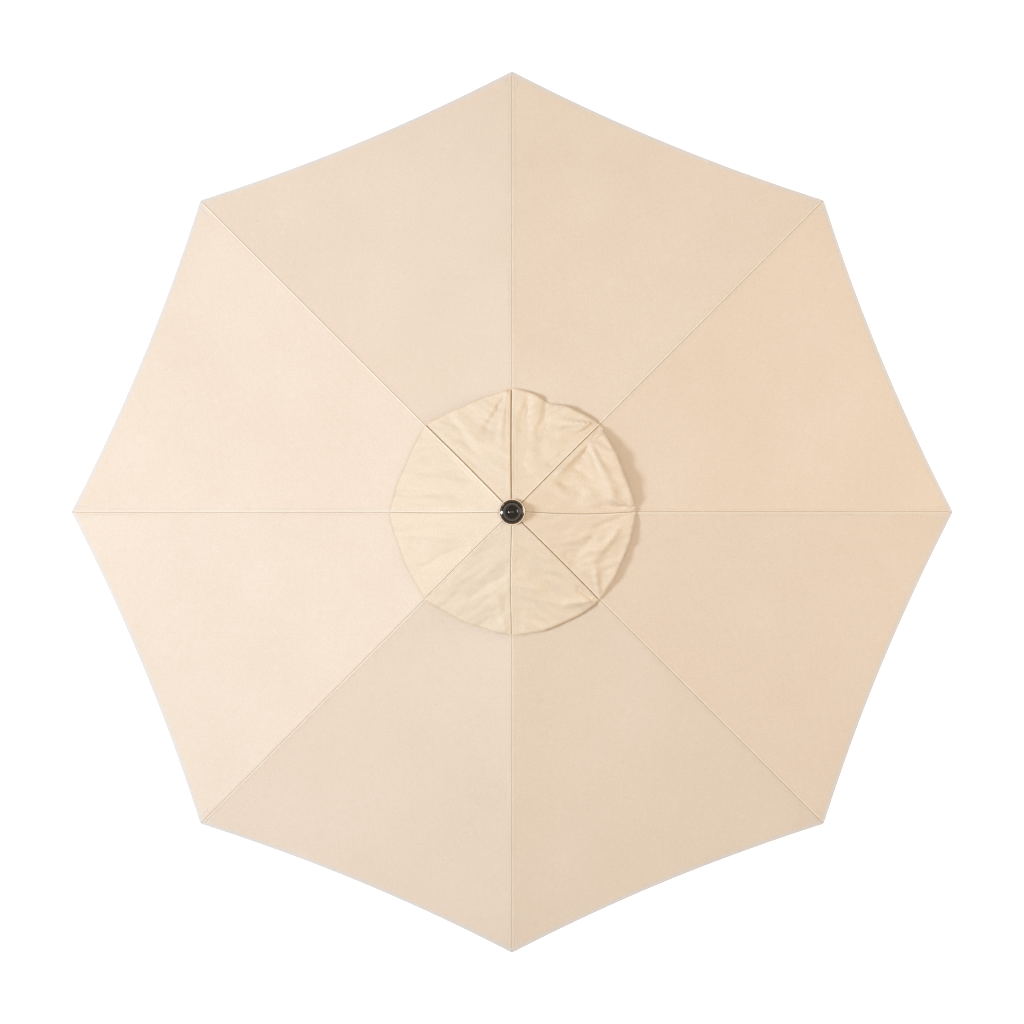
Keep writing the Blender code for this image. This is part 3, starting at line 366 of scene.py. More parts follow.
# Wrinkles of the vent cap: gore, then the share of the way out and the place across of each end,
# half width in metres and height in metres.
WRINKLES = (
    (1, 0.99, -0.97, 0.80, -0.30, 0.009, 0.0089),
    (1, 0.98, -0.90, 0.74, -0.62, 0.006, -0.0076),
    (1, 0.97, -0.80, 0.90, -0.28, 0.006, 0.0064),
    (1, 0.92, 0.62, 0.30, 0.55, 0.022, -0.0103),
    (1, 0.62, -0.75, 0.50, -0.66, 0.007, -0.0055),
    (1, 0.95, 0.20, 0.55, -0.10, 0.016, -0.0085),
    (0, 0.98, 0.95, 0.66, 0.62, 0.008, -0.0094),
    (0, 0.96, 0.84, 0.50, 0.80, 0.008, 0.0076),
    (0, 0.86, 0.55, 0.88, -0.60, 0.013, 0.0085),
    (0, 0.50, 0.30, 0.62, -0.40, 0.020, -0.0081),
    (0, 0.99, -0.96, 0.84, -0.62, 0.006, 0.0085),
    (0, 0.98, -0.88, 0.72, -0.86, 0.006, -0.0068),
    (7, 0.98, 0.96, 0.74, 0.55, 0.008, -0.0076),
    (7, 0.90, 0.40, 0.80, -0.45, 0.014, 0.0085),
    (7, 0.72, 0.10, 0.60, -0.70, 0.018, -0.0076),
    (7, 0.99, -0.96, 0.86, -0.52, 0.008, 0.0081),
    (6, 0.99, 0.95, 0.84, 0.78, 0.008, -0.0106),
    (6, 0.98, 0.80, 0.92, 0.30, 0.009, 0.0072),
    (6, 0.84, 0.30, 0.55, -0.20, 0.020, -0.0064),
    (5, 0.96, 0.85, 0.60, 0.20, 0.014, 0.0048),
    (5, 0.80, -0.10, 0.55, 0.55, 0.016, -0.0048),
    (4, 0.90, -0.40, 0.55, 0.05, 0.014, 0.0041),
    (4, 0.86, 0.40, 0.50, 0.62, 0.014, -0.0041),
    (3, 0.92, 0.55, 0.48, 0.10, 0.013, -0.0045),
    (3, 0.90, 0.10, 0.52, -0.30, 0.012, 0.0041),
    (2, 0.99, -0.94, 0.74, -0.12, 0.010, -0.0076),
    (2, 0.98, -0.86, 0.58, -0.52, 0.009, 0.0068),
    (2, 0.90, 0.30, 0.60, 0.05, 0.015, 0.0051),
)


def dent(across, depth, place, width):
    """A smooth dent across a panel."""
    return depth * np.exp(-(((across - place) / width) ** 2))


def vent_reach(across, gore):
    """Distance from the pole to the vent cap's edge, square to a panel's chord."""
    reach = VENT_RADIUS * COS_HALF + VENT_BULGES[gore] * (1 - across**2)
    if gore == DENT_GORE:
        reach = reach - dent(across, *DENT_INWARD)
    return reach + 0.0012 * np.sin(7.0 * across + 1.7 * gore) * (1 - across**2)


def wrinkle_height(reach, side, gore):
    """Sum of the wrinkles on one panel of the vent cap."""
    total = np.zeros_like(reach)
    for at, share_a, across_a, share_b, across_b, half_width, height in WRINKLES:
        if at != gore:
            continue
        start = share_a * VENT_RADIUS * COS_HALF
        end = share_b * VENT_RADIUS * COS_HALF
        start_side = across_a * start * TAN_HALF
        run = (end - start, across_b * end * TAN_HALF - start_side)
        length = math.hypot(*run)
        along = ((reach - start) * run[0] + (side - start_side) * run[1]) / length**2
        off = ((reach - start) * run[1] - (side - start_side) * run[0]) / length
        # full height over most of the length, fading past both ends, and wider towards the second
        fade = np.exp(-((np.clip(np.abs(along - 0.42) - 0.42, 0, None) / 0.22) ** 2))
        taper = half_width * (0.55 + 0.75 * np.clip(along, 0, 1))
        total = total + height * fade * np.exp(-((off / taper) ** 2))
    return total


def soft_noise(x, y, seed):
    """Smooth noise over two arrays."""
    flat = [noise_at((a, b, seed)) for a, b in zip(np.ravel(x), np.ravel(y))]
    return np.array(flat).reshape(np.shape(x))


def rumple(reach, side, gore):
    """Soft creases with no order to them, stretched along the panel's diagonal."""
    lean = math.radians(-35 if gore in (0, 1, 4, 5) else 35)
    one = reach * math.cos(lean) + side * math.sin(lean)
    two = side * math.cos(lean) - reach * math.sin(lean)
    broad = soft_noise(one * 9.0, two * 24.0, 3.1 * gore)
    fine = soft_noise(one * 26.0, two * 60.0, 7.7 * gore)
    return broad + 0.45 * fine


def vent_z(reach, across, gore):
    """Underside of the vent cap."""
    crown = 1 - across**2
    share = np.clip(reach / (VENT_RADIUS * COS_HALF), 0, 1.1)
    lift = VENT_LIFTS[gore] * share**2.6 * (1 - np.abs(across) ** 2.6)
    if gore == DENT_GORE:
        lift = lift - dent(across, *DENT_DOWNWARD) * share**4
    side = across * reach * TAN_HALF
    crease = wrinkle_height(reach, side, gore) * np.clip(crown * 3.0, 0, 1)
    swell = VENT_RUMPLES[gore] * rumple(reach, side, gore) * np.clip(crown * 2.5, 0, 1)
    swell = swell * np.clip(share * 1.6, 0, 1)
    floor = vent_seam_z(reach / COS_HALF) - 0.001 - 0.004 * crown
    return np.maximum(vent_seam_z(reach / COS_HALF) + lift + crease + swell, floor)


def spun(points, azimuth):
    """Points turned about the pole."""
    turn = np.array(Matrix.Rotation(azimuth, 3, "Z"))
    return points @ turn.T


def gore_points(height, reach, across, gore):
    """Points of a gore's underside in the umbrella's frame."""
    flat = np.stack([reach, across * reach * TAN_HALF, height(reach, across, gore)], axis=-1)
    return spun(flat, HALF * (2 * gore + 1))


def upward(height, reach, across, gore):
    """Unit normals of a gore's surface."""
    step = 0.0005
    wide = 0.002
    out = gore_points(height, reach + step, across, gore) - gore_points(height, reach - step, across, gore)
    side = gore_points(height, reach, across + wide, gore) - gore_points(height, reach, across - wide, gore)
    normal = np.cross(out, side)
    return normal / np.linalg.norm(normal, axis=-1, keepdims=True)


def sheet_object(name, under, over, normals, uv, material_rows, materials):
    """A closed thin sheet from two grids of points, with the surface's own normals on both faces."""
    rows, columns = under.shape[:2]
    count = rows * columns
    index = np.arange(count).reshape(rows, columns)
    faces = []
    loops = []
    slots = []
    flat_normals = normals.reshape(-1, 3)
    for row in range(rows - 1):
        for column in range(columns - 1):
            near, far = index[row, column : column + 2], index[row + 1, column : column + 2]
            corners = [near[0], far[0], far[1], near[1]]
            faces.append([corner + count for corner in corners])
            loops.extend(flat_normals[corner] for corner in corners)
            faces.append(corners[::-1])
            loops.extend(-flat_normals[corner] for corner in corners[::-1])
            slots += [material_rows[row]] * 2
    rim = list(index[:, 0]) + list(index[-1, 1:]) + list(index[-2::-1, -1]) + list(index[0, -2:0:-1])
    points = np.concatenate([under.reshape(-1, 3), over.reshape(-1, 3)])
    for start, end in zip(rim, rim[1:] + rim[:1]):
        faces.append([start, end, end + count, start + count])
        edge = np.cross(points[end] - points[start], points[start + count] - points[start])
        edge = edge / max(np.linalg.norm(edge), 1e-9)
        loops.extend([edge] * 4)
        slots.append(material_rows[min(int(start) // columns, rows - 2)])
    mesh = bpy.data.meshes.new(name)
    mesh.from_pydata(points.tolist(), [], [[int(corner) for corner in face] for face in faces])
    mesh.update()
    if mesh.polygons[0].normal.dot(Vector(loops[0])) < 0:
        mesh.flip_normals()
        order = []
        at = 0
        for face in faces:
            order += [at] + list(range(at + len(face) - 1, at, -1))
            at += len(face)
        loops = [loops[place] for place in order]
    mesh.polygons.foreach_set("use_smooth", [True] * len(faces))
    layer = mesh.uv_layers.new(name="cloth")
    flat_uv = np.concatenate([uv.reshape(-1, 2), uv.reshape(-1, 2)])
    vertices = np.zeros(len(mesh.loops), np.int32)
    mesh.loops.foreach_get("vertex_index", vertices)
    layer.data.foreach_set("uv", flat_uv[vertices].astype(np.float32).ravel())
    for material in materials:
        mesh.materials.append(material)
    mesh.polygons.foreach_set("material_index", slots)
    mesh.normals_split_custom_set([tuple(float(part) for part in normal) for normal in loops])
    return linked(name, mesh)


def half_gore(name, height, reach_out, inner, gore, side, rows, columns, hem, cloths):
    """Half of a gore, from its seam to its middle. side is -1 for its lower seam, 1 for its upper."""
    across = side * (1 - np.linspace(0.0, 1.0, columns + 1) ** 1.5)[None, :]
    edge = reach_out(across, gore)
    inner_reach = inner * COS_HALF
    hem_share = hem / (edge - inner_reach)
    body = np.linspace(0.0, 1.0, rows + 1)[:, None] * (1 - hem_share)
    step = HEM_STEP / (edge - inner_reach)
    hem_rows = [1 - hem_share + step, 1 - hem_share * 0.5, 1 - step * 0.5, np.ones_like(edge)]
    share = np.concatenate([body] + hem_rows, axis=0)
    rise = np.array([0.0] * (rows + 1) + [HEM_RISE, HEM_RISE * 1.15, HEM_RISE * 0.9, HEM_RISE * 0.45])
    reach = inner_reach + share * (edge - inner_reach)
    across = np.broadcast_to(across, reach.shape)
    under = gore_points(height, reach, across, gore)
    normal = upward(height, reach, across, gore)
    over = under + normal * (CLOTH + rise[:, None, None])
    under = under - normal * (0.35 * rise[:, None, None])
    uv = np.stack([reach, across * reach * TAN_HALF], axis=-1) + gore * GORE_SHIFT
    slots = [0] * rows + [1] * 4
    return sheet_object(name, under, over, normal, uv, slots, cloths)


def fold_with_rib(piece, rib):
    """A piece rides on its rib, on a mesh of its own."""
    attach(piece, f"rib_body_{rib + 1}")
    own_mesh(piece)


def canopy_edge(across, _gore):
    """The canopy's edge, which is the same on every gore."""
    return canopy_reach(across)


def gores(kind, height, edge, inner, rows, columns, hem, cloths):
    """All half gores of one tier, each on the rib at its seam."""
    made = []
    for gore in range(RIBS):
        for side, rib in ((-1, gore), (1, (gore + 1) % RIBS)):
            name = f"{kind}_{gore + 1}{'a' if side < 0 else 'b'}"
            piece = half_gore(name, height, edge, inner, gore, side, rows, columns, hem, cloths)
            fold_with_rib(piece, rib)
            made.append(piece)
    return made


# ---------------------------------------------------------------- seams

def surface_height(height, points, gores_at):
    """Height of the underside over points of a seam strip that lie in the given gores."""
    out = np.zeros(len(points))
    for gore in set(gores_at.tolist()):
        here = gores_at == gore
        local = spun(points[here], -HALF * (2 * gore + 1))
        reach = local[:, 0]
        across = np.clip(local[:, 1] / (reach * TAN_HALF), -1, 1)
        out[here] = height(reach, across, gore)
    return out


# A lapped seam's section: distance from the crease and height over the cloth, in millimetres.
SEAM_SECTION = (
    (-13.0, -0.3), (-12.0, 0.32), (-8.2, 0.40), (-7.4, 0.28), (-6.6, 0.42), (-4.2, 0.50), (-1.2, 0.38),
    (-0.2, 0.32), (0.3, 0.60), (1.0, 1.05), (1.9, 1.25), (2.9, 1.05), (3.9, 0.62), (4.8, 0.46),
    (6.6, 0.42), (7.4, 0.28), (8.2, 0.40), (12.0, 0.32), (13.0, -0.3),
)
CREASE = (6, 7)                              # faces of the section in the crease, which take a dark cloth of painted shade
ROLL = (8, 9, 10, 11)                        # faces on the rolled fold, which take a lighter cloth of painted highlight
LAP_SIDES = (-1, 1, -1, 1, -1, 1, 1, 1)      # which way each seam is folded, rib by rib
VENT_CREASES = (1.3, 2.0, 3.4, 2.6, 1.0, 1.1, 1.5, 2.5)   # how wide each crease gapes on the vent cap
VENT_SWAYS = (-0.0060, 0.0012, 0.0010, -0.0012, 0.0020, -0.0015, -0.0035, 0.0015)   # and how far it strays
SEAM_WOBBLES = ((0.00010, 210.0, 1.0), (0.00008, 83.0, 2.1))   # height, pitch, shift from rib to rib
VENT_SEAM_MARGIN = 0.0045                    # extra width beside a vent seam's stitches
MARGIN_START = 0.0115                        # how far from the crease that width is added
MARGIN_TAPER = 0.02                          # and the length over which it comes in
STITCH_ROWS = (-0.0074, 0.0074)
STITCH = 0.0034
STITCH_STEP = 0.0046
STITCH_HALF = 0.0005
STITCH_LIFT = 0.0003


def wander(radii, start, end, sway):
    """How far a seam strays sideways from the straight line over its rib."""
    return sway * np.sin(math.pi * np.clip((radii - start) / (end - start), 0, 1))


def seam_strip(
    name, height, rib, start, end, rows, fullness, gape, cloth, shade, margin=0.0, sway=0.0
):
    """A lapped seam over a rib: flat allowance, rolled fold beside a crease, two rows of topstitch.

    fullness is the thickness of its folds as a share of the section's, and gape the crease's width. The
    crease's faces take shade, a dark cloth of painted shade, and the rolled fold a lighter cloth of painted
    highlight.
    """
    azimuth = 2 * HALF * rib
    lap = LAP_SIDES[rib]
    section = np.array(SEAM_SECTION)
    section[CREASE[0], 0] *= gape
    section = section[::lap] * (0.001 * lap, 0.001 * fullness)
    radii = np.linspace(start, end, rows + 1)
    grid = np.zeros((rows + 1, len(section), 3))
    grid[..., 0] = radii[:, None]
    taper = np.clip((radii - start) / MARGIN_TAPER, 0, 1)
    side = np.where(np.abs(section[:, 0]) > MARGIN_START, np.sign(section[:, 0]), 0)
    grid[..., 1] = section[None, :, 0] + margin * taper[:, None] * side[None, :]
    grid[..., 1] += wander(radii, start, end, sway)[:, None]
    flat = spun(grid.reshape(-1, 3), azimuth)
    sides = (grid[..., 1] >= 0).reshape(-1)
    above = np.where(sides, rib, (rib - 1) % RIBS)
    base = surface_height(height, flat, above)
    wobble = sum(size * np.sin(radii * pitch + shift * rib) for size, pitch, shift in SEAM_WOBBLES)
    lift = (section[None, :, 1] + wobble[:, None] * (section[None, :, 1] > 0)).reshape(-1)
    flat[:, 2] = base + CLOTH + np.where(lift < 0, -0.5 * CLOTH, lift)
    over = flat.reshape(rows + 1, len(section), 3)
    under = over.copy()
    under[..., 2] = (base + 0.3 * CLOTH).reshape(rows + 1, len(section))
    under[..., 2] = np.minimum(under[..., 2], over[..., 2] - 0.0001)
    along = np.gradient(over, axis=0)
    sideways = np.gradient(over, axis=1)
    normal = np.cross(along, sideways)
    normal /= np.linalg.norm(normal, axis=-1, keepdims=True)
    uv = np.stack(np.broadcast_arrays(radii[:, None], section[None, :, 0]), axis=-1) + rib * SEAM_SHIFT
    piece = sheet_object(name, under, over, normal, uv, [0] * rows, [cloth, shade, SEAM_HIGHLIGHT])
    columns = len(section) - 1
    for number, face in enumerate(piece.data.polygons):
        column = (number // 2) % columns
        if lap < 0:
            column = columns - 1 - column
        # crease faces get the painted shade, faces on the roll the painted highlight
        if number < rows * columns * 2 and column in CREASE + ROLL:
            face.material_index = 1 if column in CREASE else 2
    add_stitches(piece, seam_stitches(height, rib, start, end, sway))
    fold_with_rib(piece, rib)
    return piece


def seam_stitches(height, rib, start, end, sway):
    """Places and directions of the stitches in a seam's two rows: (point, along, up)."""
    radii = np.arange(start + 0.004, end - 0.006, STITCH_STEP)
    made = []
    for row in STITCH_ROWS:
        gore = rib if row > 0 else (rib - 1) % RIBS
        flat = np.stack([radii, row + wander(radii, start, end, sway), 0 * radii], axis=-1)
        points = spun(flat, 2 * HALF * rib)
        points[:, 2] = surface_height(height, points, np.full(len(radii), gore)) + CLOTH + STITCH_LIFT
        made.append(points)
    return made


def add_stitches(piece, rows):
    """Lockstitches along rows of points, as small spindles in the piece's own mesh."""
    points = []
    faces = []
    for row in rows:
        along = np.gradient(row, axis=0)
        along /= np.linalg.norm(along, axis=1, keepdims=True)
        for place, direction in zip(row, along):
            side = np.cross(direction, (0, 0, 1))
            side /= np.linalg.norm(side)
            up = np.cross(side, direction)
            base = len(points)
            points.append(place - direction * STITCH * 0.5)
            for share in (-0.3, 0.3):
                middle = place + direction * STITCH * share
                for across, rise in ((1, 0), (0, 0.8), (-1, 0), (0, -0.8)):
                    points.append(middle + (side * across + up * rise) * STITCH_HALF)
            points.append(place + direction * STITCH * 0.5)
            for step in range(4):
                after = (step + 1) % 4
                faces.append((base, base + 1 + step, base + 1 + after))
                faces.append((base + 1 + step, base + 5 + step, base + 5 + after, base + 1 + after))
                faces.append((base + 5 + step, base + 9, base + 5 + after))
    thread = bpy.data.meshes.new("thread")
    thread.from_pydata([tuple(point) for point in points], [], faces)
    thread.update()
    layer = thread.uv_layers.new(name="cloth")
    vertices = np.zeros(len(thread.loops), np.int32)
    thread.loops.foreach_get("vertex_index", vertices)
    layer.data.foreach_set("uv", np.array(points)[vertices, :2].astype(np.float32).ravel())
    thread.materials.append(THREAD)
    fresh = linked("thread", thread)
    both = [piece, fresh]
    with bpy.context.temp_override(active_object=piece, object=piece, selected_editable_objects=both):
        bpy.ops.object.join()


# ---------------------------------------------------------------- turned and small pieces

def smooth_object(name, points, faces, material, sharp, place=None, turn_out=False):
    """A piece from points and faces, smooth but for edges sharper than sharp degrees."""
    mesh = bpy.data.meshes.new(name)
    mesh.from_pydata(points, [], faces)
    mesh.update()
    if turn_out:
        face_out(mesh)
    mesh.shade_smooth()
    mesh.set_sharp_from_angle(angle=math.radians(sharp))
    if place is not None:
        mesh.transform(place)
    mesh.materials.append(material)
    return linked(name, mesh)


def face_out(mesh):
    """Turn a closed mesh's faces outwards."""
    solid = bmesh.new()
    solid.from_mesh(mesh)
    bmesh.ops.recalc_face_normals(solid, faces=solid.faces)
    solid.to_mesh(mesh)
    solid.free()


def flat_uv_map(mesh):
    """The cloth's UV map, laid straight down on X and Y."""
    layer = mesh.uv_layers.new(name="cloth")
    for loop, uv in zip(mesh.loops, layer.data):
        uv.uv = mesh.vertices[loop.vertex_index].co.xy


def rib_frame(rib):
    """From a rib's own frame, X along it from its pivot, to the umbrella's."""
    turn = Matrix.Rotation(2 * HALF * rib, 4, "Z")
    return turn @ Matrix.Translation((PIVOT_RADIUS, 0, HUB_Z)) @ Matrix.Rotation(RIB_SLOPE, 4, "Y")


def lathe(name, profile, sides, material):
    """A turned piece from (radius, height) points, top to bottom down the outside."""
    points = []
    faces = []
    rings = []
    for radius, height in profile:
        if radius < 1e-6:
            rings.append([len(points)])
            points.append((0.0, 0.0, height))
            continue
        rings.append(list(range(len(points), len(points) + sides)))
        for step in range(sides):
            angle = 2 * math.pi * step / sides
            points.append((radius * math.cos(angle), radius * math.sin(angle), height))
    pairs = list(zip(rings, rings[1:]))
    if len(rings[0]) > 1:
        pairs.append((rings[-1], rings[0]))
    for upper, lower in pairs:
        for step in range(sides):
            after = (step + 1) % sides
            down = [upper[step % len(upper)], lower[step % len(lower)]]
            back = [lower[after % len(lower)], upper[after % len(upper)]]
            face = list(dict.fromkeys(down + back))
            if len(face) > 2:
                faces.append(face)
    return smooth_object(name, points, faces, material, 35)


def arc(radius, height, size, start, end, steps):
    """Points of an arc about (radius, height), from start to end in degrees."""
    made = []
    for step in range(steps + 1):
        angle = math.radians(start + (end - start) * step / steps)
        made.append((radius + size[0] * math.cos(angle), height + size[1] * math.sin(angle)))
    return made


def finial():
    """The bright collar and the black domed knob."""
    low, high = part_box("finial_ring")
    profile = [(0.0278, high[2] - 0.0006)]
    steps = 24
    height = high[2]
    for step in range(steps + 1):            # the flank, steeper from step to step
        slope = math.radians(8 + 42 * step / steps)
        radius = 0.0284 + 0.0064 * step / steps
        height -= 0.0064 / steps * math.tan(slope)
        profile.append((radius, height))
    profile += arc(0.0341, height - 0.0016, (0.0025, 0.0025), 40, 0, 8)
    profile += [(0.0366, low[2] + 0.0045), (0.0364, low[2] + 0.0016), (0.0354, low[2] + 0.0006)]
    # back under and up the bore to the seat of the knob
    profile += [(0.0120, high[2] - 0.0085), (0.0120, high[2] - 0.0045), (0.0270, high[2] - 0.0042)]
    collar = lathe("finial_collar", profile, 128, CHROME)
    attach(collar, "top")
    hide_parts("finial_ring")
    low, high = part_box("finial_knob")
    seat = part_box("finial_ring")[1][2] - 0.0026
    dome = [(0.0, high[2] - 0.0006)]
    dome += arc(0.0, seat + 0.0095, (0.0262, high[2] - seat - 0.0101), 88, 6, 30)
    dome += arc(0.0250, seat + 0.0065, (0.0020, 0.0030), 40, -60, 10)
    dome += [(0.0250, seat + 0.0030), (0.0244, seat + 0.0006), (0.0040, seat + 0.0006)]
    dome += [(0.0040, low[2]), (0.0, low[2])]
    knob = lathe("finial_dome", dome, 128, GLOSS_BLACK)
    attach(knob, "top")
    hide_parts("finial_knob")


def boxy(value):
    """Sine or cosine pushed outwards, which makes a circle into a rounded box."""
    return math.copysign(abs(value) ** 0.45, value)


def rib_tips():
    """Plastic end caps on the ribs, inside the canopy's corner pockets."""
    sides = 24
    stations = (                             # distance past the rib's end, size as a share of the rib's
        (-0.030, 1.10), (-0.029, 1.16), (-0.002, 1.16), (0.0016, 1.08), (0.0034, 0.80), (0.0042, 0.45)
    )
    points = []
    faces = []
    for offset, scale in stations:
        for step in range(sides):
            angle = 2 * math.pi * step / sides
            y = RIB_HALF_WIDTH * scale * boxy(math.cos(angle))
            z = RIB_HALF_HEIGHT * (scale - 0.06) * boxy(math.sin(angle))
            points.append((RIB_LENGTH + offset, y, z))
    for band in range(len(stations) - 1):
        low = band * sides
        for step in range(sides):
            after = (step + 1) % sides
            faces.append((low + step, low + after, low + sides + after, low + sides + step))
    faces.append(tuple(reversed(range(sides))))
    faces.append(tuple(range(len(points) - sides, len(points))))
    for rib in range(RIBS):
        piece = smooth_object(f"rib_tip_{rib + 1}", points, faces, BLACK_PLASTIC, 40, rib_frame(rib))
        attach(piece, f"rib_body_{rib + 1}")


def rib_pockets():
    """Cloth pockets sewn under the canopy's corners, which hold the rib ends."""
    section = [(-0.0165, 0.0), (-0.0125, -0.0012), (-0.0092, -0.0060), (-0.0086, -0.0165)]
    section += [(-0.0070, -0.0196)]
    section += [(0.0, -0.0206)] + [(-y, z) for y, z in reversed(section)]
    count = len(section)
    ring = 2 * count
    wall = 0.0008
    length = 0.050
    start = RIB_LENGTH - 0.052
    top = RIB_HALF_HEIGHT + 0.0012
    steps = 9
    points = []
    faces = []
    for step in range(steps + 1):
        share = step / steps
        pucker = 0.10 * math.sin(math.pi * step / steps) * (step % 2)
        shrink = 1 - pucker - 0.16 * share**3
        for skin in (0.0, wall):
            for y, z in section:
                out = y + math.copysign(skin, y) * (abs(y) > 0.001)
                points.append((start + length * step / steps, out * shrink, top + (z - skin) * shrink))
    for step in range(steps):
        low = step * ring
        for index in range(count - 1):
            inner = (low + index, low + index + 1, low + ring + index + 1, low + ring + index)
            faces.append(inner)
            faces.append(tuple(corner + count for corner in reversed(inner)))
        for index in (0, count - 1):
            side = (low + index, low + ring + index, low + ring + count + index, low + count + index)
            faces.append(side if index == 0 else side[::-1])
    for low, flip in ((0, True), (steps * ring, False)):
        for index in range(count - 1):
            cap = (low + index, low + index + 1, low + count + index + 1, low + count + index)
            faces.append(cap[::-1] if flip else cap)
    for rib in range(RIBS):
        name = f"rib_pocket_{rib + 1}"
        piece = smooth_object(name, points, faces, HEM_CLOTH, 50, turn_out=True)
        flat_uv_map(piece.data)
        piece.data.transform(rib_frame(rib))
        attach(piece, f"rib_body_{rib + 1}")


SPRING_LENGTH = 0.0146


def spring():
    """The coil spring behind the tilt button."""
    low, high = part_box("tilt_spring")
    button = JOINTS["tilt_press"]
    inward = Vector(button["axis"])
    middle = (low + high) / 2
    thickness = 0.00042                      # radius of the wire
    coil = 0.0044
    reach = SPRING_LENGTH / 2 - thickness
    across = Vector((0, 0, 1))
    side = inward.cross(across)
    turns = 6
    steps = 28
    sides = 10
    points = []
    faces = []
    for step in range(turns * steps + 1):
        angle = 2 * math.pi * step / steps
        share = step / (turns * steps)
        settle = min(1.0, share / 0.10, (1 - share) / 0.10)
        along = (share - 0.5) * 2 * reach * (0.93 + 0.07 * settle)
        out = across * math.cos(angle) + side * math.sin(angle)
        centre = middle + out * coil + inward * along
        for turn in range(sides):
            around = 2 * math.pi * turn / sides
            points.append(centre + (out * math.cos(around) + inward * math.sin(around)) * thickness)
    for step in range(turns * steps):
        low = step * sides
        for turn in range(sides):
            after = (turn + 1) % sides
            faces.append((low + turn, low + after, low + sides + after, low + sides + turn))
    faces.append(tuple(range(sides)))
    faces.append(tuple(reversed(range(len(points) - sides, len(points)))))
    piece = smooth_object("tilt_coil", points, faces, PLATED, 180, turn_out=True)
    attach(piece, "top")
    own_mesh(piece)
    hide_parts("tilt_spring")


def crown():
    """A round of cloth under the finial, where the panels of the vent cap meet."""
    profile = []
    steps = 12
    for step in range(steps + 1):
        radius = VENT_HOLE_CAD + (CROWN_RADIUS - VENT_HOLE_CAD) * step / steps
        profile.append((radius, vent_seam_z(radius) - 0.0002))
    profile += [(radius, height - 0.0006) for radius, height in reversed(profile)]
    piece = lathe("vent_crown", profile, 96, VENT_CLOTH)
    flat_uv_map(piece.data)
    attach(piece, "top")
    return piece


# ---------------------------------------------------------------- carried-over nodes

FINISHES = {
    "pole_paint": POLE_PAINT,
    "frame_paint": FRAME_PAINT,
    "base_paint": BASE_PAINT,
    "black_plastic": BLACK_PLASTIC,
    "bright_steel": PLATED,
    "rubber": RUBBER,
    "chrome": CHROME,
    "black_gloss": GLOSS_BLACK,
    "canopy_cloth": CANOPY_CLOTH,
    "vent_cloth": VENT_CLOTH,
}


def finish_cad():
    """Give every carried-over node its finish."""
    for part in frame["record"]["subparts"]:
        item = frame["nodes"][part["node"]]
        material = FINISHES[part["material_slot"]]
        item.data.materials.clear()
        item.data.materials.append(material)


# ---------------------------------------------------------------- stage

CAMERA_DISTANCE = 6.0                        # above the rim
CANOPY_SHARE = 0.86084                       # of the picture's width, corner to corner


def stage():
    """Floor, backdrop, light and camera."""
    bpy.ops.mesh.primitive_plane_add(size=28, location=(0, 0, -0.0005))
    floor = bpy.context.object
    floor.name = "floor"
    floor.visible_diffuse = False
    material, shader = new_material("floor", 0.9)
    shader.inputs["Base Color"].default_value = (0.92, 0.92, 0.92, 1.0)
    shader.inputs["Emission Color"].default_value = (1.0, 1.0, 1.0, 1.0)
    shader.inputs["Emission Strength"].default_value = 0.85
    paint(floor, material)
    profile = [(13.0, -0.001)] + arc(14.0, 9.999, (10.0, 10.0), -90, 0, 16) + [(24.0, 16.0)]
    sweep = lathe("sweep", profile, 64, material)
    sweep.visible_diffuse = False
    sweep.visible_glossy = False
    sweep.visible_shadow = False
    world = bpy.data.worlds.new("studio")
    world.use_nodes = True
    world.node_tree.nodes["Background"].inputs["Color"].default_value = (1.0, 0.875, 0.73, 1.0)
    world.node_tree.nodes["Background"].inputs["Strength"].default_value = 0.43
    bpy.context.scene.world = world
    bpy.context.scene.view_settings.view_transform = "Standard"
    add_light("key", 50, 183, 8.5, (1.2, 1.2), 402.0, (0.865, 1.09, 1.42))
    add_light("fill", 18, 9, 7.0, (3.0, 1.5), 160.0, (0.98, 0.99, 1.02))
    add_light("top", 90, 0, 6.5, (4.4, 0.5), 78.0, (1.0, 0.90, 0.78))
    add_light("rim", 28, 142, 7.0, (0.7, 0.5), 24.0, (1.0, 0.95, 0.88))
    camera = bpy.data.cameras.new("camera")
    camera.sensor_width = 36.0
    half_view = RIM_RADIUS / CANOPY_SHARE
    camera.lens = camera.sensor_width / 2 * CAMERA_DISTANCE / half_view
    camera.clip_end = 60.0
    eye = linked("camera", camera)
    eye.location = (0.0, 0.0, RIM_Z + CAMERA_DISTANCE)
    bpy.context.scene.camera = eye


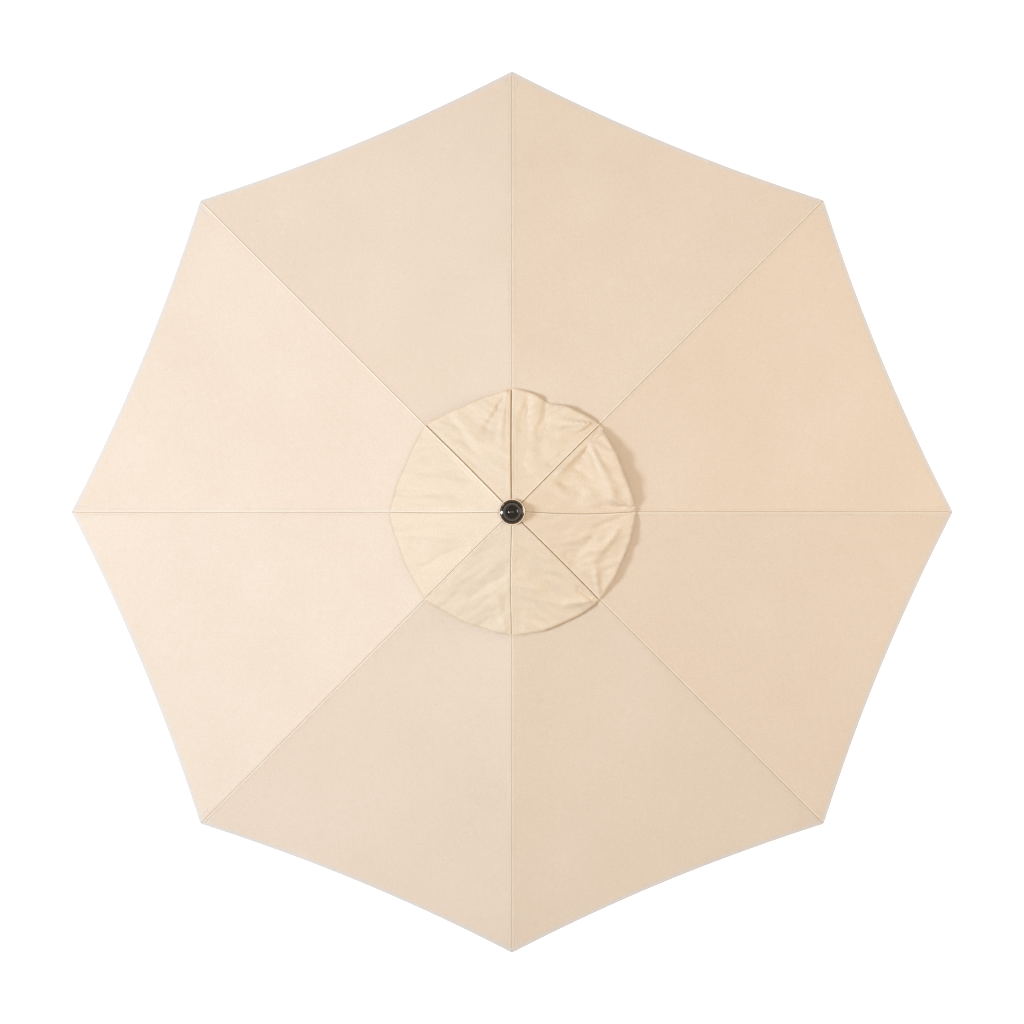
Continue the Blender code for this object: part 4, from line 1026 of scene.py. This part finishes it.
def add_light(name, elevation, azimuth, distance, size, power, colour):
    """A soft rectangular light that faces the canopy's middle."""
    light = bpy.data.lights.new(name, "AREA")
    light.shape = "RECTANGLE"
    light.size, light.size_y = size
    light.energy = power
    light.color = colour
    item = linked(name, light)
    middle = Vector((0.0, 0.0, RIM_Z))
    level = math.cos(math.radians(elevation)) * distance
    around = math.radians(azimuth)
    item.location = middle + Vector((level * math.cos(around), level * math.sin(around), 0.0))
    item.location.z += math.sin(math.radians(elevation)) * distance
    item.rotation_euler = (middle - item.location).to_track_quat("-Z", "Y").to_euler()
    item.visible_camera = False


# ---------------------------------------------------------------- build

def declare(outer, inner, slope, edge_bow):
    """Work out the cut width and area of a tier's half gores, from their slope and the part of the hem that
    each holds; nothing uses the results.
    """
    steep = math.hypot(1.0, slope / COS_HALF)
    width = outer * math.sin(HALF)
    area = 0.5 * (outer**2 - inner**2) * math.sin(HALF) * COS_HALF * steep
    area = area + edge_bow * width * steep


def umbrella():
    """Every piece that shows."""
    finish_cad()
    halves = gores(
        "gore", canopy_z, canopy_edge, inner=MOUTH_RADIUS, rows=44, columns=20,
        hem=HEM, cloths=[CANOPY_CLOTH, HEM_CLOTH],
    )
    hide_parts("canopy")
    # the vent cap's hem rows take the darker hem cloth, painted shade along its edge
    vents = gores(
        "vent", vent_z, vent_reach, inner=VENT_HOLE, rows=44, columns=28,
        hem=VENT_HEM_WIDTH, cloths=[VENT_CLOTH, VENT_HEM_SHADE],
    )
    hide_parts("vent_cap")
    for rib in range(RIBS):
        seam = seam_strip(
            f"seam_{rib + 1}", canopy_z, rib, start=MOUTH_RADIUS + 0.002, end=RIM_RADIUS - 0.012,
            rows=150, fullness=0.8, gape=1.1,
            cloth=CANOPY_CLOTH, shade=CANOPY_SEAM_SHADE,
        )
        seam = seam_strip(
            f"vent_seam_{rib + 1}", vent_z, rib, start=VENT_HOLE - 0.0025, end=VENT_RADIUS - 0.001,
            rows=60, fullness=1.7, gape=VENT_CREASES[rib],
            cloth=VENT_CLOTH, shade=SEAM_SHADE,
            margin=VENT_SEAM_MARGIN, sway=VENT_SWAYS[rib],
        )
    declare(RIM_RADIUS, MOUTH_RADIUS, SEAM_DROP, -2 / 3 * SCALLOP)
    declare(VENT_RADIUS, VENT_HOLE, VENT_SLOPE, 0.75 * 0.014)
    piece = crown()
    finial()
    rib_tips()
    rib_pockets()
    spring()


umbrella()
stage()
